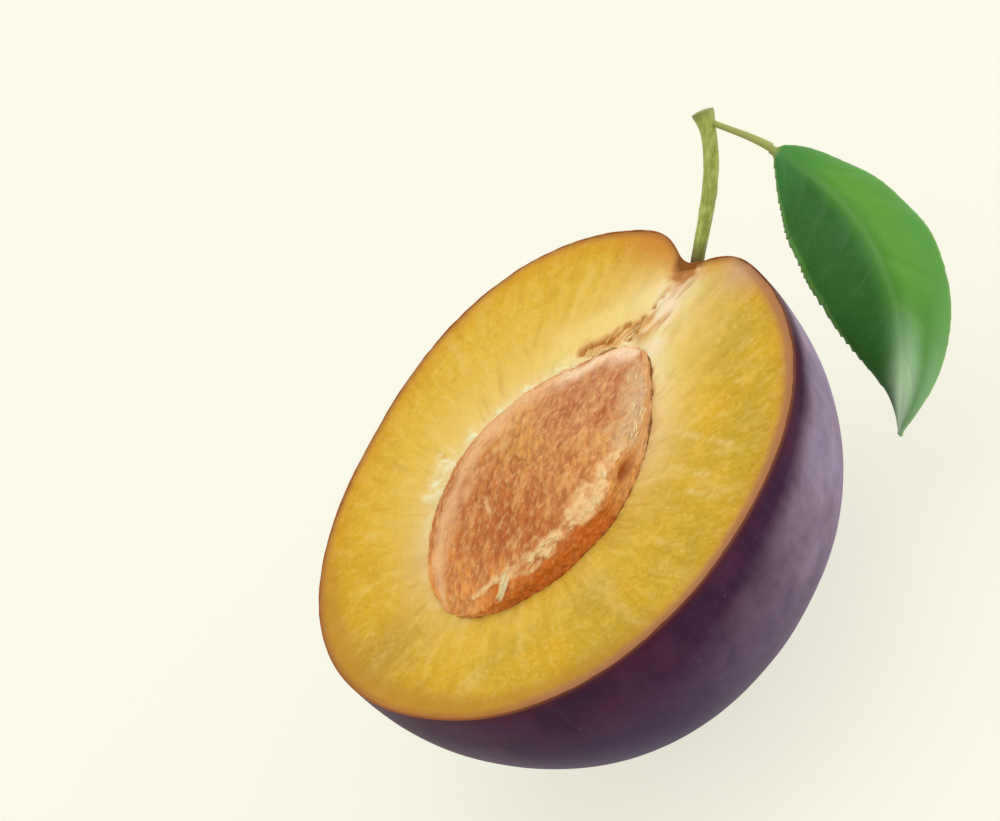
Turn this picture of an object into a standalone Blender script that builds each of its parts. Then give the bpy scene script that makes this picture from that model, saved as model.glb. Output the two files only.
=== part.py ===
"""Half of a European plum, cut along its length, with its stone, its stem and one leaf.

The cut face is level and looks up. The fruit lies along Y with the stem end at +Y, and rests on a
small flat spot under its rounded back. The origin is the centre of that spot.
"""
import bmesh
import bpy
import numpy as np

MM = 0.001

# Fruit body, measured from a centre on the cut plane
HALF_WIDTH = 21.8 * MM
DEPTH = 23.9 * MM
STEM_END_REACH = 22.4 * MM
FAR_END_REACH = 26.1 * MM
BODY_POWER = 2.19
EGG = -0.033
SKEW = -0.061
CUT_HEIGHT = 23.5 * MM

# Notch that the stem grows from
NOTCH_DIRECTION = np.array([0.111, 0.994, 0.0])
NOTCH_DEPTH = 0.11
NOTCH_SPREAD = np.radians(8.0)

# Skin and flesh
SKIN_THICKNESS = 0.6 * MM
SKIN_TO_FLESH_GAP = 0.35 * MM
FLESH_EDGE_DROP = 0.15 * MM
AROUND = 60
DOWN = 10
NOTCH_CROWDING = 0.6
RIM_CROWDING = 1.4

# Stone, lying flat in the cut plane with its point towards the stem
STONE_CENTRE = np.array([-0.5, -3.45, 0.0]) * MM
STONE_LEAN = np.radians(10.0)
STONE_POINT_REACH = 13.0 * MM
STONE_BLUNT_REACH = 13.2 * MM
STONE_HALF_WIDTH = 9.4 * MM
STONE_HALF_THICKNESS = 3.5 * MM
STONE_LENGTH_POWER = 1.8
STONE_SECTION_POWER = 2.5
STONE_TAPER = 0.027
STONE_BEAK = 0.13
STONE_BEAK_SPREAD = 0.25
KEEL_RISE = 0.09
KEEL_ANGLE = 0.6
KEEL_SPREAD = 0.2
FURROW_DEPTH = 0.18 * MM
STONE_AROUND = 40
STONE_ALONG = 18

# Hollow in the flesh, a little larger than the stone and drawn out towards the stem
HOLLOW_GAP = 0.5 * MM
POCKET_REACH = 4.0 * MM
POCKET_TURN = np.radians(-1.0)
POCKET_SPREAD = np.radians(9.0)
POCKET_HEIGHT = np.radians(22.0)
HOLLOW_LIP_DEPTH = np.radians(5.0)
HOLLOW_DOWN = 8

# Stem
STEM_CURVE = np.array([(1.87, 21.0, -1.1), (2.1, 24.3, 0.75), (2.6, 28.6, 2.8), (1.12, 31.0, 5.75)]) * MM
STEM_RADIUS = 0.66 * MM
STEM_FOOT_FLARE = 0.14 * MM
STEM_KNOB_FLARE = 0.3 * MM
STEM_RIDGE = 0.05
STEM_SIDES = 14
STEM_ALONG = 16

# Leaf stalk and blade
STALK_CURVE = np.array([(2.75, 30.6, 4.5), (4.4, 30.4, 4.2), (6.9, 29.75, 4.9), (8.11, 29.75, 3.35)]) * MM
STALK_START_RADIUS = 0.3 * MM
STALK_END_RADIUS = 0.42 * MM
MIDRIB_CURVE = np.array([(8.11, 29.75, 3.35), (11.18, 29.89, -2.48), (23.35, 25.34, -2.49),
                         (18.65, 14.49, -15.2)]) * MM
BLADE_FACING_START = np.array([0.488, 0.219, 0.395])
BLADE_FACING_END = np.array([0.07, 0.25, 0.547])
BLADE_NEAR_WIDTH = 6.47 * MM
BLADE_FAR_WIDTH = 5.98 * MM
BLADE_BASE_POWER = 0.89
BLADE_TIP_POWER = 0.85
BLADE_CURL = 0.18
BLADE_THICKNESS = 0.6 * MM
BLADE_TIP_WIDTH = 0.3 * MM
TOOTH_DEPTH = 0.16 * MM
VEIN_PAIRS = 7
VEIN_RISE = 0.12 * MM
VEIN_SWEEP = 0.16
MIDRIB_RISE = 0.3 * MM
MIDRIB_GROOVE = 0.12 * MM
BLADE_ALONG = 44
STALK_ALONG = 7
BLADE_COLUMNS = 7


def clear_scene():
    """Remove every object the file opened with."""
    for thing in list(bpy.data.objects):
        bpy.data.objects.remove(thing, do_unlink=True)


def linear(hex_colour):
    """Linear red, green, blue and alpha of an sRGB colour written as RRGGBB."""
    channels = [int(hex_colour[i:i + 2], 16) / 255 for i in (0, 2, 4)]
    decoded = [c / 12.92 if c <= 0.04045 else ((c + 0.055) / 1.055) ** 2.4 for c in channels]
    return (*decoded, 1.0)


def surface(name, hex_colour, roughness):
    """A plain surface with the colour and roughness that the piece shows."""
    material = bpy.data.materials.new(name)
    material.use_nodes = True
    shader = material.node_tree.nodes["Principled BSDF"]
    shader.inputs["Base Color"].default_value = linear(hex_colour)
    shader.inputs["Roughness"].default_value = roughness
    shader.inputs["Metallic"].default_value = 0.0
    return material


def unit(vectors):
    """The same vectors, each one long."""
    return vectors / np.linalg.norm(vectors, axis=-1, keepdims=True)


def heading(azimuth, polar):
    """Unit vectors. Azimuth turns from +Y to +X, and polar rises from straight down."""
    return np.stack([np.sin(azimuth) * np.sin(polar), np.cos(azimuth) * np.sin(polar), -np.cos(polar)], -1)


def raised(points):
    """Move points measured from the cut plane up to where that plane stands."""
    return points + np.array([0.0, 0.0, CUT_HEIGHT])


def wrap_rings(name, rings, material, first_tip=None, last_tip=None, mirrored_from=None):
    """Join rings of points into one closed body, ending each side in a tip or a flat cap.

    Quads are split into triangles. From the column mirrored_from on, the split leans the other
    way, so that the two faces of a thin blade are split alike.
    """
    mesh_maker = bmesh.new()
    rows = [[mesh_maker.verts.new(point) for point in ring] for ring in rings]
    count = len(rows[0])
    for lower, upper in zip(rows, rows[1:]):
        for j in range(count):
            k = (j + 1) % count
            if mirrored_from is not None and j >= mirrored_from:
                mesh_maker.faces.new((lower[j], lower[k], upper[j]))
                mesh_maker.faces.new((lower[k], upper[k], upper[j]))
            else:
                mesh_maker.faces.new((lower[j], lower[k], upper[k]))
                mesh_maker.faces.new((lower[j], upper[k], upper[j]))
    for row, tip in ((rows[0], first_tip), (rows[-1], last_tip)):
        if tip is None:
            mesh_maker.faces.new(row)
        else:
            end = mesh_maker.verts.new(tip)
            for j in range(count):
                mesh_maker.faces.new((row[j], row[(j + 1) % count], end))
    bmesh.ops.recalc_face_normals(mesh_maker, faces=mesh_maker.faces)
    return finish_object(name, mesh_maker, material)


def finish_object(name, mesh_maker, material):
    """Turn a bmesh into a named, smooth-shaded object in the scene."""
    mesh = bpy.data.meshes.new(name)
    mesh_maker.to_mesh(mesh)
    mesh_maker.free()
    mesh.materials.append(material)
    mesh.shade_smooth()
    mesh.set_sharp_from_angle(angle=np.radians(40.0))
    thing = bpy.data.objects.new(name, mesh)
    bpy.context.collection.objects.link(thing)
    return thing


def body_radius(direction):
    """How far the fruit's skin lies from the body's centre in each direction."""
    x, y, z = np.moveaxis(direction, -1, 0)
    reach = np.where(y > 0, STEM_END_REACH, FAR_END_REACH)
    total = np.abs(x / HALF_WIDTH) ** BODY_POWER
    total = total + np.abs(z / DEPTH) ** BODY_POWER
    total = total + np.abs(y / reach) ** BODY_POWER
    shape = 1 + EGG * y * (1 - y * y) + SKEW * x * (y * y - 0.2)
    from_notch = np.arccos(np.clip(direction @ unit(NOTCH_DIRECTION), -1, 1))
    notch = 1 - NOTCH_DEPTH * np.exp(-(from_notch / NOTCH_SPREAD) ** 2)
    return total ** (-1 / BODY_POWER) * shape * notch


def body_level(points):
    """One on the skin, less inside it and more outside it."""
    distance = np.linalg.norm(points, axis=-1)
    return distance / body_radius(unit(points))


def body_layer(azimuth, polar, depth):
    """Points a given depth under the outside of the skin, flat where the fruit rests."""
    direction = heading(azimuth, polar)
    points = direction * body_radius(direction)[..., None]
    step = 0.01 * MM
    slopes = [body_level(points + step * axis) - body_level(points - step * axis) for axis in np.eye(3)]
    points = points - depth * unit(np.stack(slopes, -1))
    points[..., 2] = np.maximum(points[..., 2], depth - CUT_HEIGHT)
    return points


def spread_azimuths():
    """Turns round the fruit, closer together at the notch."""
    middle = np.arctan2(NOTCH_DIRECTION[0], NOTCH_DIRECTION[1])
    even = np.arange(AROUND) * 2 * np.pi / AROUND
    return middle + even - NOTCH_CROWDING * np.sin(even)


def spot_edge(azimuth):
    """Polar angle at which the skin meets the flat resting spot."""
    low = np.zeros_like(azimuth)
    high = np.full_like(azimuth, np.radians(40.0))
    for _ in range(40):
        middle = (low + high) / 2
        below = body_radius(heading(azimuth, middle)) * np.cos(middle) > CUT_HEIGHT
        low = np.where(below, middle, low)
        high = np.where(below, high, middle)
    return high


def body_rings(depth):
    """Rings of one layer, from the edge of the resting spot up to the cut."""
    azimuth = spread_azimuths()
    edge = spot_edge(azimuth)
    rings = []
    for i in range(DOWN + 1):
        climb = 1 - (1 - i / DOWN) ** RIM_CROWDING
        rings.append(body_layer(azimuth, edge + (np.pi / 2 - edge) * climb, depth))
    return rings


def make_skin(material):
    """The peel: an open bowl of one thickness, flat where it rests."""
    mesh_maker = bmesh.new()
    rows = [[mesh_maker.verts.new(point) for point in raised(ring)] for ring in body_rings(0.0)]
    for lower, upper in zip(rows, rows[1:]):
        for j in range(AROUND):
            k = (j + 1) % AROUND
            mesh_maker.faces.new((lower[j], lower[k], upper[k], upper[j]))
    resting_spot = mesh_maker.faces.new(rows[0])
    bmesh.ops.recalc_face_normals(mesh_maker, faces=mesh_maker.faces)
    if resting_spot.normal.z > 0:
        bmesh.ops.reverse_faces(mesh_maker, faces=mesh_maker.faces)
    skin = finish_object("skin", mesh_maker, material)
    wall = skin.modifiers.new("peel thickness", "SOLIDIFY")
    wall.thickness = SKIN_THICKNESS
    wall.offset = -1.0
    wall.use_even_offset = True
    return skin


def stone_reach(direction):
    """How far the stone's surface lies from its centre in each direction."""
    x, y, z = np.moveaxis(direction, -1, 0)
    across = x * np.cos(STONE_LEAN) - y * np.sin(STONE_LEAN)
    along = x * np.sin(STONE_LEAN) + y * np.cos(STONE_LEAN)
    length = np.where(along > 0, STONE_POINT_REACH, STONE_BLUNT_REACH)
    width = STONE_HALF_WIDTH * (1 - STONE_TAPER * along)
    section = np.abs(across / width) ** STONE_SECTION_POWER
    section = section + np.abs(z / STONE_HALF_THICKNESS) ** STONE_SECTION_POWER
    total = section ** (STONE_LENGTH_POWER / STONE_SECTION_POWER)
    total = total + np.abs(along / length) ** STONE_LENGTH_POWER
    reach = total ** (-1 / STONE_LENGTH_POWER)
    from_point = np.arccos(np.clip(along, -1, 1))
    reach = reach * (1 + STONE_BEAK * np.exp(-(from_point / STONE_BEAK_SPREAD) ** 2))
    flank = np.arctan2(np.abs(z) / STONE_HALF_THICKNESS, across / STONE_HALF_WIDTH)
    keel = np.exp(-((flank - KEEL_ANGLE) / KEEL_SPREAD) ** 2) * np.sin(from_point)
    return reach * (1 + KEEL_RISE * keel)


def make_stone(material):
    """The stone: flattened, pointed towards the stem, keeled and shallowly furrowed."""
    turn = np.arange(STONE_AROUND) * 2 * np.pi / STONE_AROUND
    along_axis = np.array([np.sin(STONE_LEAN), np.cos(STONE_LEAN), 0.0])
    across_axis = np.array([np.cos(STONE_LEAN), -np.sin(STONE_LEAN), 0.0])
    up_axis = np.array([0.0, 0.0, 1.0])
    rings = []
    for i in range(1, STONE_ALONG):
        angle = np.pi * i / STONE_ALONG
        flat_turn = np.arctan2(STONE_HALF_THICKNESS * np.sin(turn), STONE_HALF_WIDTH * np.cos(turn))
        direction = np.cos(angle) * along_axis
        direction = direction + np.sin(angle) * np.cos(flat_turn)[:, None] * across_axis
        direction = direction + np.sin(angle) * np.sin(flat_turn)[:, None] * up_axis
        furrow = FURROW_DEPTH * np.sin(5 * turn + 4 * angle) * np.sin(7 * angle - 2 * turn) * np.sin(angle)
        rings.append(raised(STONE_CENTRE + direction * (stone_reach(direction) - np.abs(furrow))[:, None]))
    tips = [raised(STONE_CENTRE + side * along_axis * stone_reach(side * along_axis)) for side in (1, -1)]
    return wrap_rings("stone", rings, material, *tips)


def hollow_rings():
    """Rings of the hollow that holds the stone, from its mouth down towards its floor."""
    azimuth = spread_azimuths()
    rings = []
    for i in range(HOLLOW_DOWN):
        sink = HOLLOW_LIP_DEPTH + (np.pi / 2 - HOLLOW_LIP_DEPTH) * i / HOLLOW_DOWN
        polar = np.arctan2(STONE_HALF_WIDTH * np.cos(sink), STONE_HALF_THICKNESS * np.sin(sink))
        direction = heading(azimuth, np.full_like(azimuth, polar))
        turned = (azimuth - POCKET_TURN + np.pi) % (2 * np.pi) - np.pi
        pocket = POCKET_REACH * np.exp(-(turned / POCKET_SPREAD) ** 2)
        pocket = pocket * np.exp(-((np.pi / 2 - polar) / POCKET_HEIGHT) ** 2)
        reach = stone_reach(direction) + HOLLOW_GAP + pocket
        rings.append(STONE_CENTRE + direction * reach[:, None])
    return rings


def make_flesh(material):
    """The flesh: the body inside the skin, a level cut face and the stone's hollow."""
    depth = SKIN_THICKNESS + SKIN_TO_FLESH_GAP
    outside = body_rings(depth)
    hollow = hollow_rings()
    rim = outside[-1].copy()
    mouth = hollow[0].copy()
    outside[-1][:, 2] -= FLESH_EDGE_DROP
    face = []
    for share in (0.05, 0.5, 0.93):
        ring = rim + (mouth - rim) * share
        ring[:, 2] = 0.0
        face.append(ring)
    rings = [raised(ring) for ring in outside + face + hollow]
    underside = raised(np.array([0.0, 0.0, depth - CUT_HEIGHT]))
    floor = STONE_CENTRE - np.array([0.0, 0.0, STONE_HALF_THICKNESS + HOLLOW_GAP])
    return wrap_rings("flesh", rings, material, underside, raised(floor))


def cubic(points, t):
    """Points of a cubic curve and its directions of travel."""
    s = 1 - t
    a, b, c, d = points
    t, s = t[:, None], s[:, None]
    place = s ** 3 * a + 3 * s * s * t * b + 3 * s * t * t * c + t ** 3 * d
    travel = 3 * s * s * (b - a) + 6 * s * t * (c - b) + 3 * t * t * (d - c)
    return place, unit(travel)


def make_stem(material):
    """The stem: a slightly ridged stalk with a flared foot and a knob where it broke from the twig."""
    t = np.linspace(0, 1, STEM_ALONG) ** 0.85
    place, travel = cubic(STEM_CURVE, t)
    side = unit(np.cross(travel, np.array([1.0, 0.0, 0.0])))
    other = np.cross(travel, side)
    turn = np.arange(STEM_SIDES) * 2 * np.pi / STEM_SIDES
    rings = []
    for i in range(STEM_ALONG):
        foot = STEM_FOOT_FLARE * np.exp(-(t[i] / 0.06) ** 2)
        knob = STEM_KNOB_FLARE * np.exp(-((1 - t[i]) / 0.09) ** 2)
        radius = (STEM_RADIUS + foot + knob) * (1 + STEM_RIDGE * np.cos(3 * turn))
        section = np.cos(turn)[:, None] * side[i] + np.sin(turn)[:, None] * other[i]
        rings.append(raised(place[i] + radius[:, None] * section))
    return wrap_rings("stem", rings, material)


def blade_frame(travel, t):
    """Directions out of the leaf's upper face and across it."""
    facing = (1 - t)[:, None] * BLADE_FACING_START + t[:, None] * BLADE_FACING_END
    facing = unit(facing - np.sum(facing * travel, axis=1, keepdims=True) * travel)
    return facing, np.cross(travel, facing)


def blade_outline(t):
    """Share of the full half width at each place along the midrib."""
    widest = BLADE_BASE_POWER / (BLADE_BASE_POWER + BLADE_TIP_POWER)
    return (t / widest) ** BLADE_BASE_POWER * ((1 - t) / (1 - widest)) ** BLADE_TIP_POWER


def stalk_ring(place, facing, across, radius):
    """A round section with as many points as a section of the blade."""
    turn = np.linspace(0.1, 0.9, BLADE_COLUMNS) * np.pi
    upper = [place - radius * np.cos(a) * across + radius * np.sin(a) * facing for a in turn]
    lower = [place - radius * np.cos(a) * across - radius * np.sin(a) * facing for a in turn]
    return np.array(upper + lower[::-1])


def blade_ring(place, facing, across, t, row):
    """A section of the blade: upper face from edge to edge, then the lower face back."""
    share = blade_outline(t)
    tooth = TOOTH_DEPTH * (1 if row % 2 else -1) * min(1.0, 3 * share)
    upper = []
    lower = []
    for s in np.linspace(-1, 1, BLADE_COLUMNS):
        full = BLADE_NEAR_WIDTH if s > 0 else BLADE_FAR_WIDTH
        width = max(full * share + tooth, BLADE_TIP_WIDTH)
        vein = VEIN_RISE * np.cos(2 * np.pi * VEIN_PAIRS * (t - VEIN_SWEEP * abs(s))) * abs(s) * share
        middle = place + across * s * width - facing * (s * s * full * share * BLADE_CURL - vein)
        rib = max(0.0, 1 - abs(s) * 3) * (1 - 0.7 * t)
        upper.append(middle + facing * (BLADE_THICKNESS / 2 - MIDRIB_GROOVE * rib))
        lower.append(middle - facing * (BLADE_THICKNESS / 2 + MIDRIB_RISE * rib))
    return np.array(upper + lower[::-1])


def make_leaf(material):
    """The leaf: a thin stalk that widens into a toothed, veined blade with a pointed tip."""
    rings = []
    t = np.linspace(0, 1, STALK_ALONG, endpoint=False)
    place, travel = cubic(STALK_CURVE, t)
    facing, across = blade_frame(travel, np.zeros_like(t))
    for i in range(STALK_ALONG):
        radius = STALK_START_RADIUS + (STALK_END_RADIUS - STALK_START_RADIUS) * t[i]
        rings.append(raised(stalk_ring(place[i], facing[i], across[i], radius)))
    t = np.linspace(0, 1, BLADE_ALONG + 1)
    place, travel = cubic(MIDRIB_CURVE, t)
    facing, across = blade_frame(travel, t)
    for i in range(1, BLADE_ALONG + 1):
        rings.append(raised(blade_ring(place[i], facing[i], across[i], t[i], i)))
    return wrap_rings("leaf", rings, material, mirrored_from=BLADE_COLUMNS)


def main():
    """Build the five pieces."""
    clear_scene()
    make_skin(surface("skin", "4A2C4C", 0.45))
    make_flesh(surface("flesh", "D9B146", 0.35))
    make_stone(surface("stone", "B8713F", 0.6))
    make_stem(surface("stem", "8C9A3C", 0.5))
    make_leaf(surface("leaf", "3B7D36", 0.45))


main()
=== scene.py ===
# %% [markdown]
# Half a plum, dressed
#
# The object is half of a ripe European plum, cut along its length, with its stone, its stem and one leaf.
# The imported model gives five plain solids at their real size. Here each of them is made again as a fine mesh
# with its own finish: waxy skin, moist flesh, a rough stone, a green stem and a veined leaf.
# The fruit grew to a rule and not to a drawing, so every surface is computed from a short formula.

import bmesh
import bpy
import numpy as np
from mathutils import Matrix, Vector


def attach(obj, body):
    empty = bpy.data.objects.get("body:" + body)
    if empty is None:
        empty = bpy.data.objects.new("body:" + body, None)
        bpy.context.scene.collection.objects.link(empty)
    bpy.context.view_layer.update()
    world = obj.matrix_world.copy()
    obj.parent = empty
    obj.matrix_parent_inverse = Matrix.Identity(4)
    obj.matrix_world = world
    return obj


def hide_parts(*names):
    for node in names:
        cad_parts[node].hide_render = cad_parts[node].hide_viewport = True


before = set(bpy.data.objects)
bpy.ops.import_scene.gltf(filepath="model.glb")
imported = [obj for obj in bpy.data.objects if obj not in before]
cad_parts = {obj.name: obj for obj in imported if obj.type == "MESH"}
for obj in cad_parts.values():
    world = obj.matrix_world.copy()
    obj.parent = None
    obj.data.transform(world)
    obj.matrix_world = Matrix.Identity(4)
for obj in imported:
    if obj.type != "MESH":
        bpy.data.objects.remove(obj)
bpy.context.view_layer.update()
MM = 0.001
print("nodes", sorted(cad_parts))

# %% [markdown]
# Tools for the surfaces
#
# Plant surfaces are never even. Two kinds of unevenness are enough for all of them: a cloud, which is a
# smooth random height, and cells, which give the distance to the nearest of many scattered points and make
# pits. Both are worked out for a whole array of points at once, from whole numbers, so every run is alike.

# %% Clouds and cells
STRIDES = np.array([374761393, 668265263, 2246822519], dtype=np.uint32)
SEED_STRIDE = 2654435
LARGEST = 4294967295.0
LATTICE_START = 1000.0


def scatter(lattice, seed):
    """One fixed random number from 0 to 1 for each lattice point."""
    mixed = (lattice.astype(np.uint32) * STRIDES).sum(axis=-1, dtype=np.uint32)
    mixed = mixed + np.uint32(seed * SEED_STRIDE + 97)
    for shift, factor in ((13, 1274126177), (15, 2246822519)):
        mixed = (mixed ^ (mixed >> np.uint32(shift))) * np.uint32(factor)
    return (mixed ^ (mixed >> np.uint32(16))) / LARGEST


def bell(values, width):
    """One where the values are nought, falling smoothly to nothing a few widths away."""
    return np.exp(-(values / width) ** 2)


def rise(values, start, end):
    """Nought up to the start, one from the end on, and a smooth step between."""
    share = np.clip((values - start) / (end - start), 0, 1)
    return share * share * (3 - 2 * share)


def cloud(points, size_mm, seed, layers=2):
    """Smooth random values from -1 to 1. Each further layer is half the size and half the height."""
    total = 0.0
    for layer in range(layers):
        place = points / (size_mm * MM / 2 ** layer) + LATTICE_START
        corner = np.floor(place)
        share = rise(place - corner, 0, 1)
        value = 0.0
        for step in np.ndindex(2, 2, 2):
            weight = np.prod(np.where(step, share, 1 - share), axis=-1)
            value = value + weight * scatter((corner + step).astype(np.int64), seed + 31 * layer)
        total = total + (2 * value - 1) / 2 ** layer
    return total


def cells(points, size_mm, seed):
    """Distance to the nearest scattered point, in units of the cell size."""
    place = points / (size_mm * MM) + LATTICE_START
    nearest = np.inf
    for step in np.ndindex(3, 3, 3):
        cell = (np.floor(place) + step - 1).astype(np.int64)
        centre = cell + np.stack([scatter(cell, seed + k) for k in range(3)], -1)
        nearest = np.minimum(nearest, np.linalg.norm(place - centre, axis=-1))
    return nearest


# %% [markdown]
# Building meshes
#
# Every piece is a grid of points that closes on itself, like a knitted tube: rings of points, joined by
# quads, with both ends closed. A number can be kept at each point, such as the distance from the skin, and
# the material reads it later to know where on the fruit it is.

# %% Rings to mesh
UP = np.array([0.0, 0.0, 1.0])
CUT_HEIGHT = 23.5 * MM


def unit(vectors):
    """The same vectors, each one long."""
    return vectors / np.maximum(np.linalg.norm(vectors, axis=-1, keepdims=True), 1e-12)


def tube_faces(rows, columns):
    """Quads between the rings of a tube, as numbers of its points counted row by row."""
    index = np.arange(rows * columns).reshape(rows, columns)
    beside = np.roll(index, -1, axis=1)
    return index, np.stack([index[:-1], beside[:-1], beside[1:], index[1:]], -1).reshape(-1, 4).tolist()


def show(name, points, faces, material, marks):
    """Put a closed mesh in the scene, raised from the cut plane, smooth and facing out, on the one body."""
    mesh = bpy.data.meshes.new(name)
    mesh.from_pydata((points + UP * CUT_HEIGHT).tolist(), [], faces)
    for key, value in marks.items():
        mesh.attributes.new(key, "FLOAT", "POINT").data.foreach_set("value", value)
    mesh.materials.append(material)
    mesh.shade_smooth()
    mesh.update()
    form = bmesh.new()
    form.from_mesh(mesh)
    volume = form.calc_volume(signed=True)
    form.free()
    if volume < 0:
        mesh.flip_normals()
    mesh.calc_loop_triangles()
    piece = bpy.data.objects.new(name, mesh)
    bpy.context.collection.objects.link(piece)
    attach(piece, "root")
    print(name, len(mesh.loop_triangles), "triangles, volume", round(abs(volume) / MM ** 3, 1), "mm3")
    return piece


def knit(name, rings, material, marks, tips=True):
    """A closed mesh from rings[row, column, xyz], with named numbers marks[name][row, column]."""
    index, faces = tube_faces(*rings.shape[:2])
    points = [rings.reshape(-1, 3)]
    marks = {key: np.asarray(value, dtype=float).reshape(-1) for key, value in marks.items()}
    for ring in (index[0, ::-1].tolist(), index[-1].tolist()):
        if not tips:
            faces.append(ring)
            continue
        end = sum(len(part) for part in points)
        points.append(points[0][ring].mean(axis=0, keepdims=True))
        marks = {key: np.append(value, value[ring].mean()) for key, value in marks.items()}
        faces.extend((a, b, end) for a, b in zip(ring, ring[1:] + ring[:1]))
    return show(name, np.concatenate(points), faces, material, marks)


# %% [markdown]
# Building materials
#
# A material is a small tree of nodes that ends in one Principled shader. One helper adds a node, sets it up
# and links what feeds it. Colour is painted in coats: each coat lies over the last where its mask is high.
# Colours are written as sRGB hex values, and one function turns them to linear ones for the renderer.


# %% Materials
def linear(hex_colour):
    """Linear red, green, blue and alpha of an sRGB colour written as RRGGBB."""
    channels = [int(hex_colour[i:i + 2], 16) / 255 for i in (0, 2, 4)]
    decoded = [c / 12.92 if c <= 0.04045 else ((c + 0.055) / 1.055) ** 2.4 for c in channels]
    return (*decoded, 1.0)


def feed(tree, node, feeds):
    """Set or link a node's inputs, found by name or number, to values, sockets or other nodes."""
    for key, value in feeds.items():
        named = [socket for socket in node.inputs if socket.enabled and socket.name == key]
        socket = named[0] if named else node.inputs[key]
        if isinstance(value, bpy.types.Node):
            value = next(output for output in value.outputs if output.enabled)
        if isinstance(value, bpy.types.NodeSocket):
            tree.links.new(value, socket)
        else:
            socket.default_value = value
    return node


def add(tree, kind, feeds, **settings):
    """Add a shader node with its settings and what feeds it."""
    node = tree.nodes.new("ShaderNode" + kind)
    for key, value in settings.items():
        setattr(node, key, value)
    return feed(tree, node, feeds)


def new_material(name, marks, **principled):
    """A material with even values on its Principled shader, the places on the object and the marks."""
    material = bpy.data.materials.new(name)
    material.use_nodes = True
    tree = material.node_tree
    shader = tree.nodes["Principled BSDF"]
    feed(tree, shader, {key.replace("_", " "): value for key, value in principled.items()})
    where = add(tree, "TexCoord", {}).outputs["Object"]
    mark = {key: add(tree, "Attribute", {}, attribute_name=key).outputs["Fac"] for key in marks}
    return material, tree, shader, where, mark


def limits(start, end, low, high):
    """The two ends of a range and what they become."""
    return {"From Min": start, "From Max": end, "To Min": low, "To Max": high}


def paint(tree, mark, base, coats):
    """A base colour under coats of colour, each with a mark or other source, its two ends and a strength."""
    colour = linear(base)
    for hex_colour, source, start, end, strength in coats:
        source = mark[source] if isinstance(source, str) else source
        mask = add(tree, "MapRange", {"Value": source, **limits(start, end, 0.0, strength)})
        colour = add(tree, "Mix", {"Factor": mask, "A": colour, "B": linear(hex_colour)}, data_type="RGBA")
    return colour


def patches(where, size_mm, detail=3.0, roughness=0.5):
    """What a noise pattern needs for soft patches of about a given size."""
    return {"Vector": where, "Scale": 1 / (size_mm * MM), "Detail": detail, "Roughness": roughness}


# %% [markdown]
# The fruit's form
#
# A plum is close to an ellipsoid, a little squarer, longer at the end away from the stem, with a small
# round notch where the stem grows and, below the cut, the cavity that the stem's foot sits in. A
# superellipsoid with those changes gives the distance from the centre to the skin in any direction. The
# skin and the flesh are layers at set depths below it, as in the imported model, so each lands on its solid.

# %% Body
HALF_WIDTH = 21.8 * MM
DEPTH = 23.9 * MM
STEM_END_REACH = 22.4 * MM
FAR_END_REACH = 26.1 * MM
BODY_POWER = 2.19
EGG = -0.033
SKEW = -0.061
NOTCH_WAY = unit(np.array([0.111, 0.994, 0.0]))
NOTCH_DEPTH = 0.11
NOTCH_SPREAD = np.radians(8.0)
CAVITY_WAY = unit(np.array([0.095, 0.990, -0.105]))
CAVITY_DEPTH = 0.10
CAVITY_SPREAD = np.radians(9.0)
SLOPE_STEP = 0.01 * MM


def heading(azimuth, polar):
    """Unit vectors. Azimuth turns from +Y to +X, and polar rises from straight down."""
    return np.stack([np.sin(azimuth) * np.sin(polar), np.cos(azimuth) * np.sin(polar), -np.cos(polar)], -1)


def angle_from(directions, centre):
    """Angle between each direction and a centre."""
    return np.arccos(np.clip(directions @ centre, -1, 1))


def body_radius(direction):
    """How far the fruit's skin lies from the body's centre in each direction."""
    x, y, z = np.moveaxis(direction, -1, 0)
    reach = np.where(y > 0, STEM_END_REACH, FAR_END_REACH)
    total = sum(np.abs(part) ** BODY_POWER for part in (x / HALF_WIDTH, z / DEPTH, y / reach))
    shape = 1 + EGG * y * (1 - y * y) + SKEW * x * (y * y - 0.2)
    notch = NOTCH_DEPTH * bell(angle_from(direction, NOTCH_WAY), NOTCH_SPREAD)
    cavity = CAVITY_DEPTH * bell(angle_from(direction, CAVITY_WAY), CAVITY_SPREAD) * rise(-z, 0.0, 0.05)
    return total ** (-1 / BODY_POWER) * shape * (1 - notch - cavity)


def body_level(points):
    """One on the skin, less inside it and more outside it."""
    return np.linalg.norm(points, axis=-1) / body_radius(unit(points))


def body_layer(azimuth, polar, depth):
    """Points at a depth under the skin, measured from the cut plane, and the directions out of the fruit."""
    direction = heading(azimuth, polar)
    points = direction * body_radius(direction)[..., None]
    steps = SLOPE_STEP * np.eye(3)
    outwards = unit(np.stack([body_level(points + step) - body_level(points - step) for step in steps], -1))
    return points - depth * outwards, outwards


# %% [markdown]
# Skin
#
# The peel is a thin, tough layer with wax on it. It is a bowl with an outer face, a narrow edge round the
# cut and an inner face against the flesh. The cut edge is a little ragged and curls outwards by a hair.
# The outer face has broad soft dents, as a ripe fruit has, and stands on the same small flat spot.

# %% Skin mesh
SKIN_EDGE = 0.17 * MM
SKIN_AROUND = 320
SKIN_DOWN = 90
SKIN_POLE = 0.02
SKIN_INSET = 0.02 * MM
DENT_HEIGHT = 0.07 * MM
EDGE_RAGGED = 0.05 * MM
EDGE_CURL = 0.06 * MM

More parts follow.
